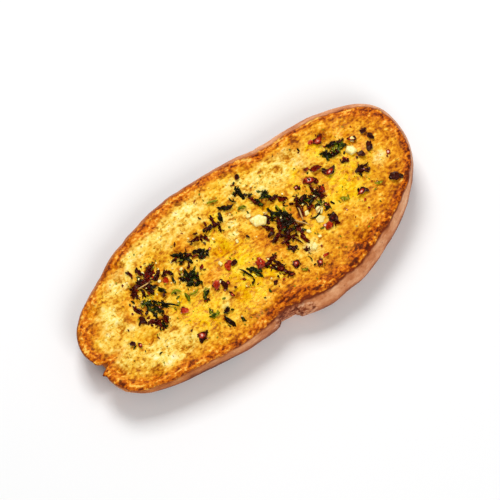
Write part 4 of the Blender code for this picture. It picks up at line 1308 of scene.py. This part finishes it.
# pale garlic crumbs strewn about the heaps: partly real garlic, partly painted highlights on the parsley
glint_x, glint_y = near_places(PARSLEY_MM, GLINT_GRAINS, rng)
glint_grains = np.column_stack((glint_x, glint_y, rng.uniform(0.25, 0.45, GLINT_GRAINS)))
garlic_x, garlic_y, garlic_size = np.concatenate((np.array(GARLIC_PLACES_MM), glint_grains)).T
lump_lift = 0.25 * garlic_size * MM + 0.3 * MM * (garlic_size < 0.5)
lumps = lay_bits(garlic_lumps(garlic_size, rng), garlic_x * MM, garlic_y * MM, lump_lift)
garlic_finish, tree, shader = new_finish("roast_garlic", Metallic=0.0, IOR=1.45, Subsurface_Weight=0.25,
                                         Subsurface_Radius=(0.002, 0.0012, 0.0005), Subsurface_Scale=0.6)
feed(tree, shader.inputs["Base Color"], colours(
    tree, grain(tree, 0.8, 3.0), (0.3, (244, 206, 104)), (0.55, (253, 234, 146)), (0.8, (255, 248, 192))))
feed(tree, shader.inputs["Roughness"], between(tree, grain(tree, 0.6), 0.3, 0.7, 0.25, 0.45))
lump_faces = bit_faces(len(lumps), CHUNK_SIDES, len(CHUNK_PROFILE))
garlic = mesh_piece("garlic_bits", lumps.reshape(-1, 3), lump_faces, {}, garlic_finish)
soften = garlic.modifiers.new("soften", "SUBSURF")
soften.levels = soften.render_levels = 1
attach(garlic, "root")

# %% [markdown]
# ## Herb flecks
# Fine flecks of dried herb, about a millimetre long, are strewn over everything. Specks in the
# bread's colour would be cheaper, but they wouldn't stand up from the crumb. A flat five-sided
# ball is enough for each, because there are hundreds and none is seen from near.

# %% Herb flecks
FLECKS = 220
FLECK_REACH = 0.88  # they lie almost out to the rim
FLECK_SIDES, FLECK_PROFILE = 5, ((0.8, 1.0), (1.0, -0.6))
FLECK_SHADES = (0.1, 0.7, 0.74, 0.78, 0.82, 0.86)


def herb_flecks(count, rng):
    """Tiny flecks: a flat five-sided ball, about twice as long as wide."""
    local = flat_balls(rng.uniform(0.75, 1.2, (count, FLECK_SIDES)), np.full(count, 0.22), FLECK_PROFILE)
    local[..., 1] *= rng.uniform(0.35, 0.7, count)[:, None]
    local *= (rng.uniform(0.2, 0.6, count) * MM)[:, None, None]
    return turn_bits(local, *any_way(count, 0.4, rng))


fleck_x, fleck_y = loose_places(FLECKS, rng, FLECK_REACH)
flecks = lay_bits(herb_flecks(FLECKS, rng), fleck_x * MM, fleck_y * MM, np.full(FLECKS, 0.15 * MM))
fleck_shade = per_point(rng.choice(FLECK_SHADES, FLECKS), flecks)
fleck_faces = bit_faces(FLECKS, FLECK_SIDES, len(FLECK_PROFILE))
herb = mesh_piece("herb_flecks", flecks.reshape(-1, 3), fleck_faces, {"shade": fleck_shade}, parsley_finish)
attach(herb, "root")

# %% [markdown]
# ## Floor and light
# The photograph has no ground at all, only white and a clear soft light. A pale floor stands in
# for it. Surroundings of pure white would do for light, but then the crumb would lose its shadows.
# So one large lamp from behind, a little to the left, gives the crumb its relief, a second from the
# front right keeps the crust bright, and the pale surroundings fill the rest.

# %% Stage
def area_lamp(name, azimuth, elevation, distance, size, power):
    """A square lamp at two angles and a distance from the slice, facing it."""
    lamp = bpy.data.objects.new(name, bpy.data.lights.new(name, "AREA"))
    lamp.data.size, lamp.data.energy = size, power
    a, e = azimuth * DEG, elevation * DEG
    back = Vector((math.sin(a) * math.cos(e), -math.cos(a) * math.cos(e), math.sin(e)))
    lamp.location = look_at + back * distance
    lamp.rotation_euler = (-back).to_track_quat("-Z", "Y").to_euler()
    lamp.visible_camera = False
    bpy.context.scene.collection.objects.link(lamp)
    return lamp


KEY_POWER, FILL_POWER, SURROUNDINGS = 5.6, 4.2, 0.3
FLOOR_HALF = 9  # metres, so that the floor reaches out of the picture on every side
FLOOR_Z = -0.05 * MM  # a hair below the bread, so that the two flat faces don't share one plane
floor_mesh = bpy.data.meshes.new("floor")
floor_corners = [(FLOOR_HALF * x, FLOOR_HALF * y, FLOOR_Z) for x, y in ((-1, -1), (1, -1), (1, 1), (-1, 1))]
floor_mesh.from_pydata(floor_corners, [], [(0, 1, 2, 3)])
floor = bpy.data.objects.new("floor", floor_mesh)
bpy.context.scene.collection.objects.link(floor)
floor_finish, tree, shader = new_finish("pale_floor", Roughness=0.8)
shader.inputs["Base Color"].default_value = (0.92, 0.92, 0.92, 1)
floor_mesh.materials.append(floor_finish)

area_lamp("key", 160, 55, 0.9, 0.4, KEY_POWER)
area_lamp("fill", -10, 46, 1.0, 0.5, FILL_POWER)
world = bpy.data.worlds.new("pale_surroundings")
world.use_nodes = True
world.node_tree.nodes["Background"].inputs["Color"].default_value = (1, 1, 1, 1)
world.node_tree.nodes["Background"].inputs["Strength"].default_value = SURROUNDINGS
bpy.context.scene.world = world
bpy.context.scene.view_settings.view_transform = "Standard"
print("lamps of", KEY_POWER, "and", FILL_POWER, "watts")
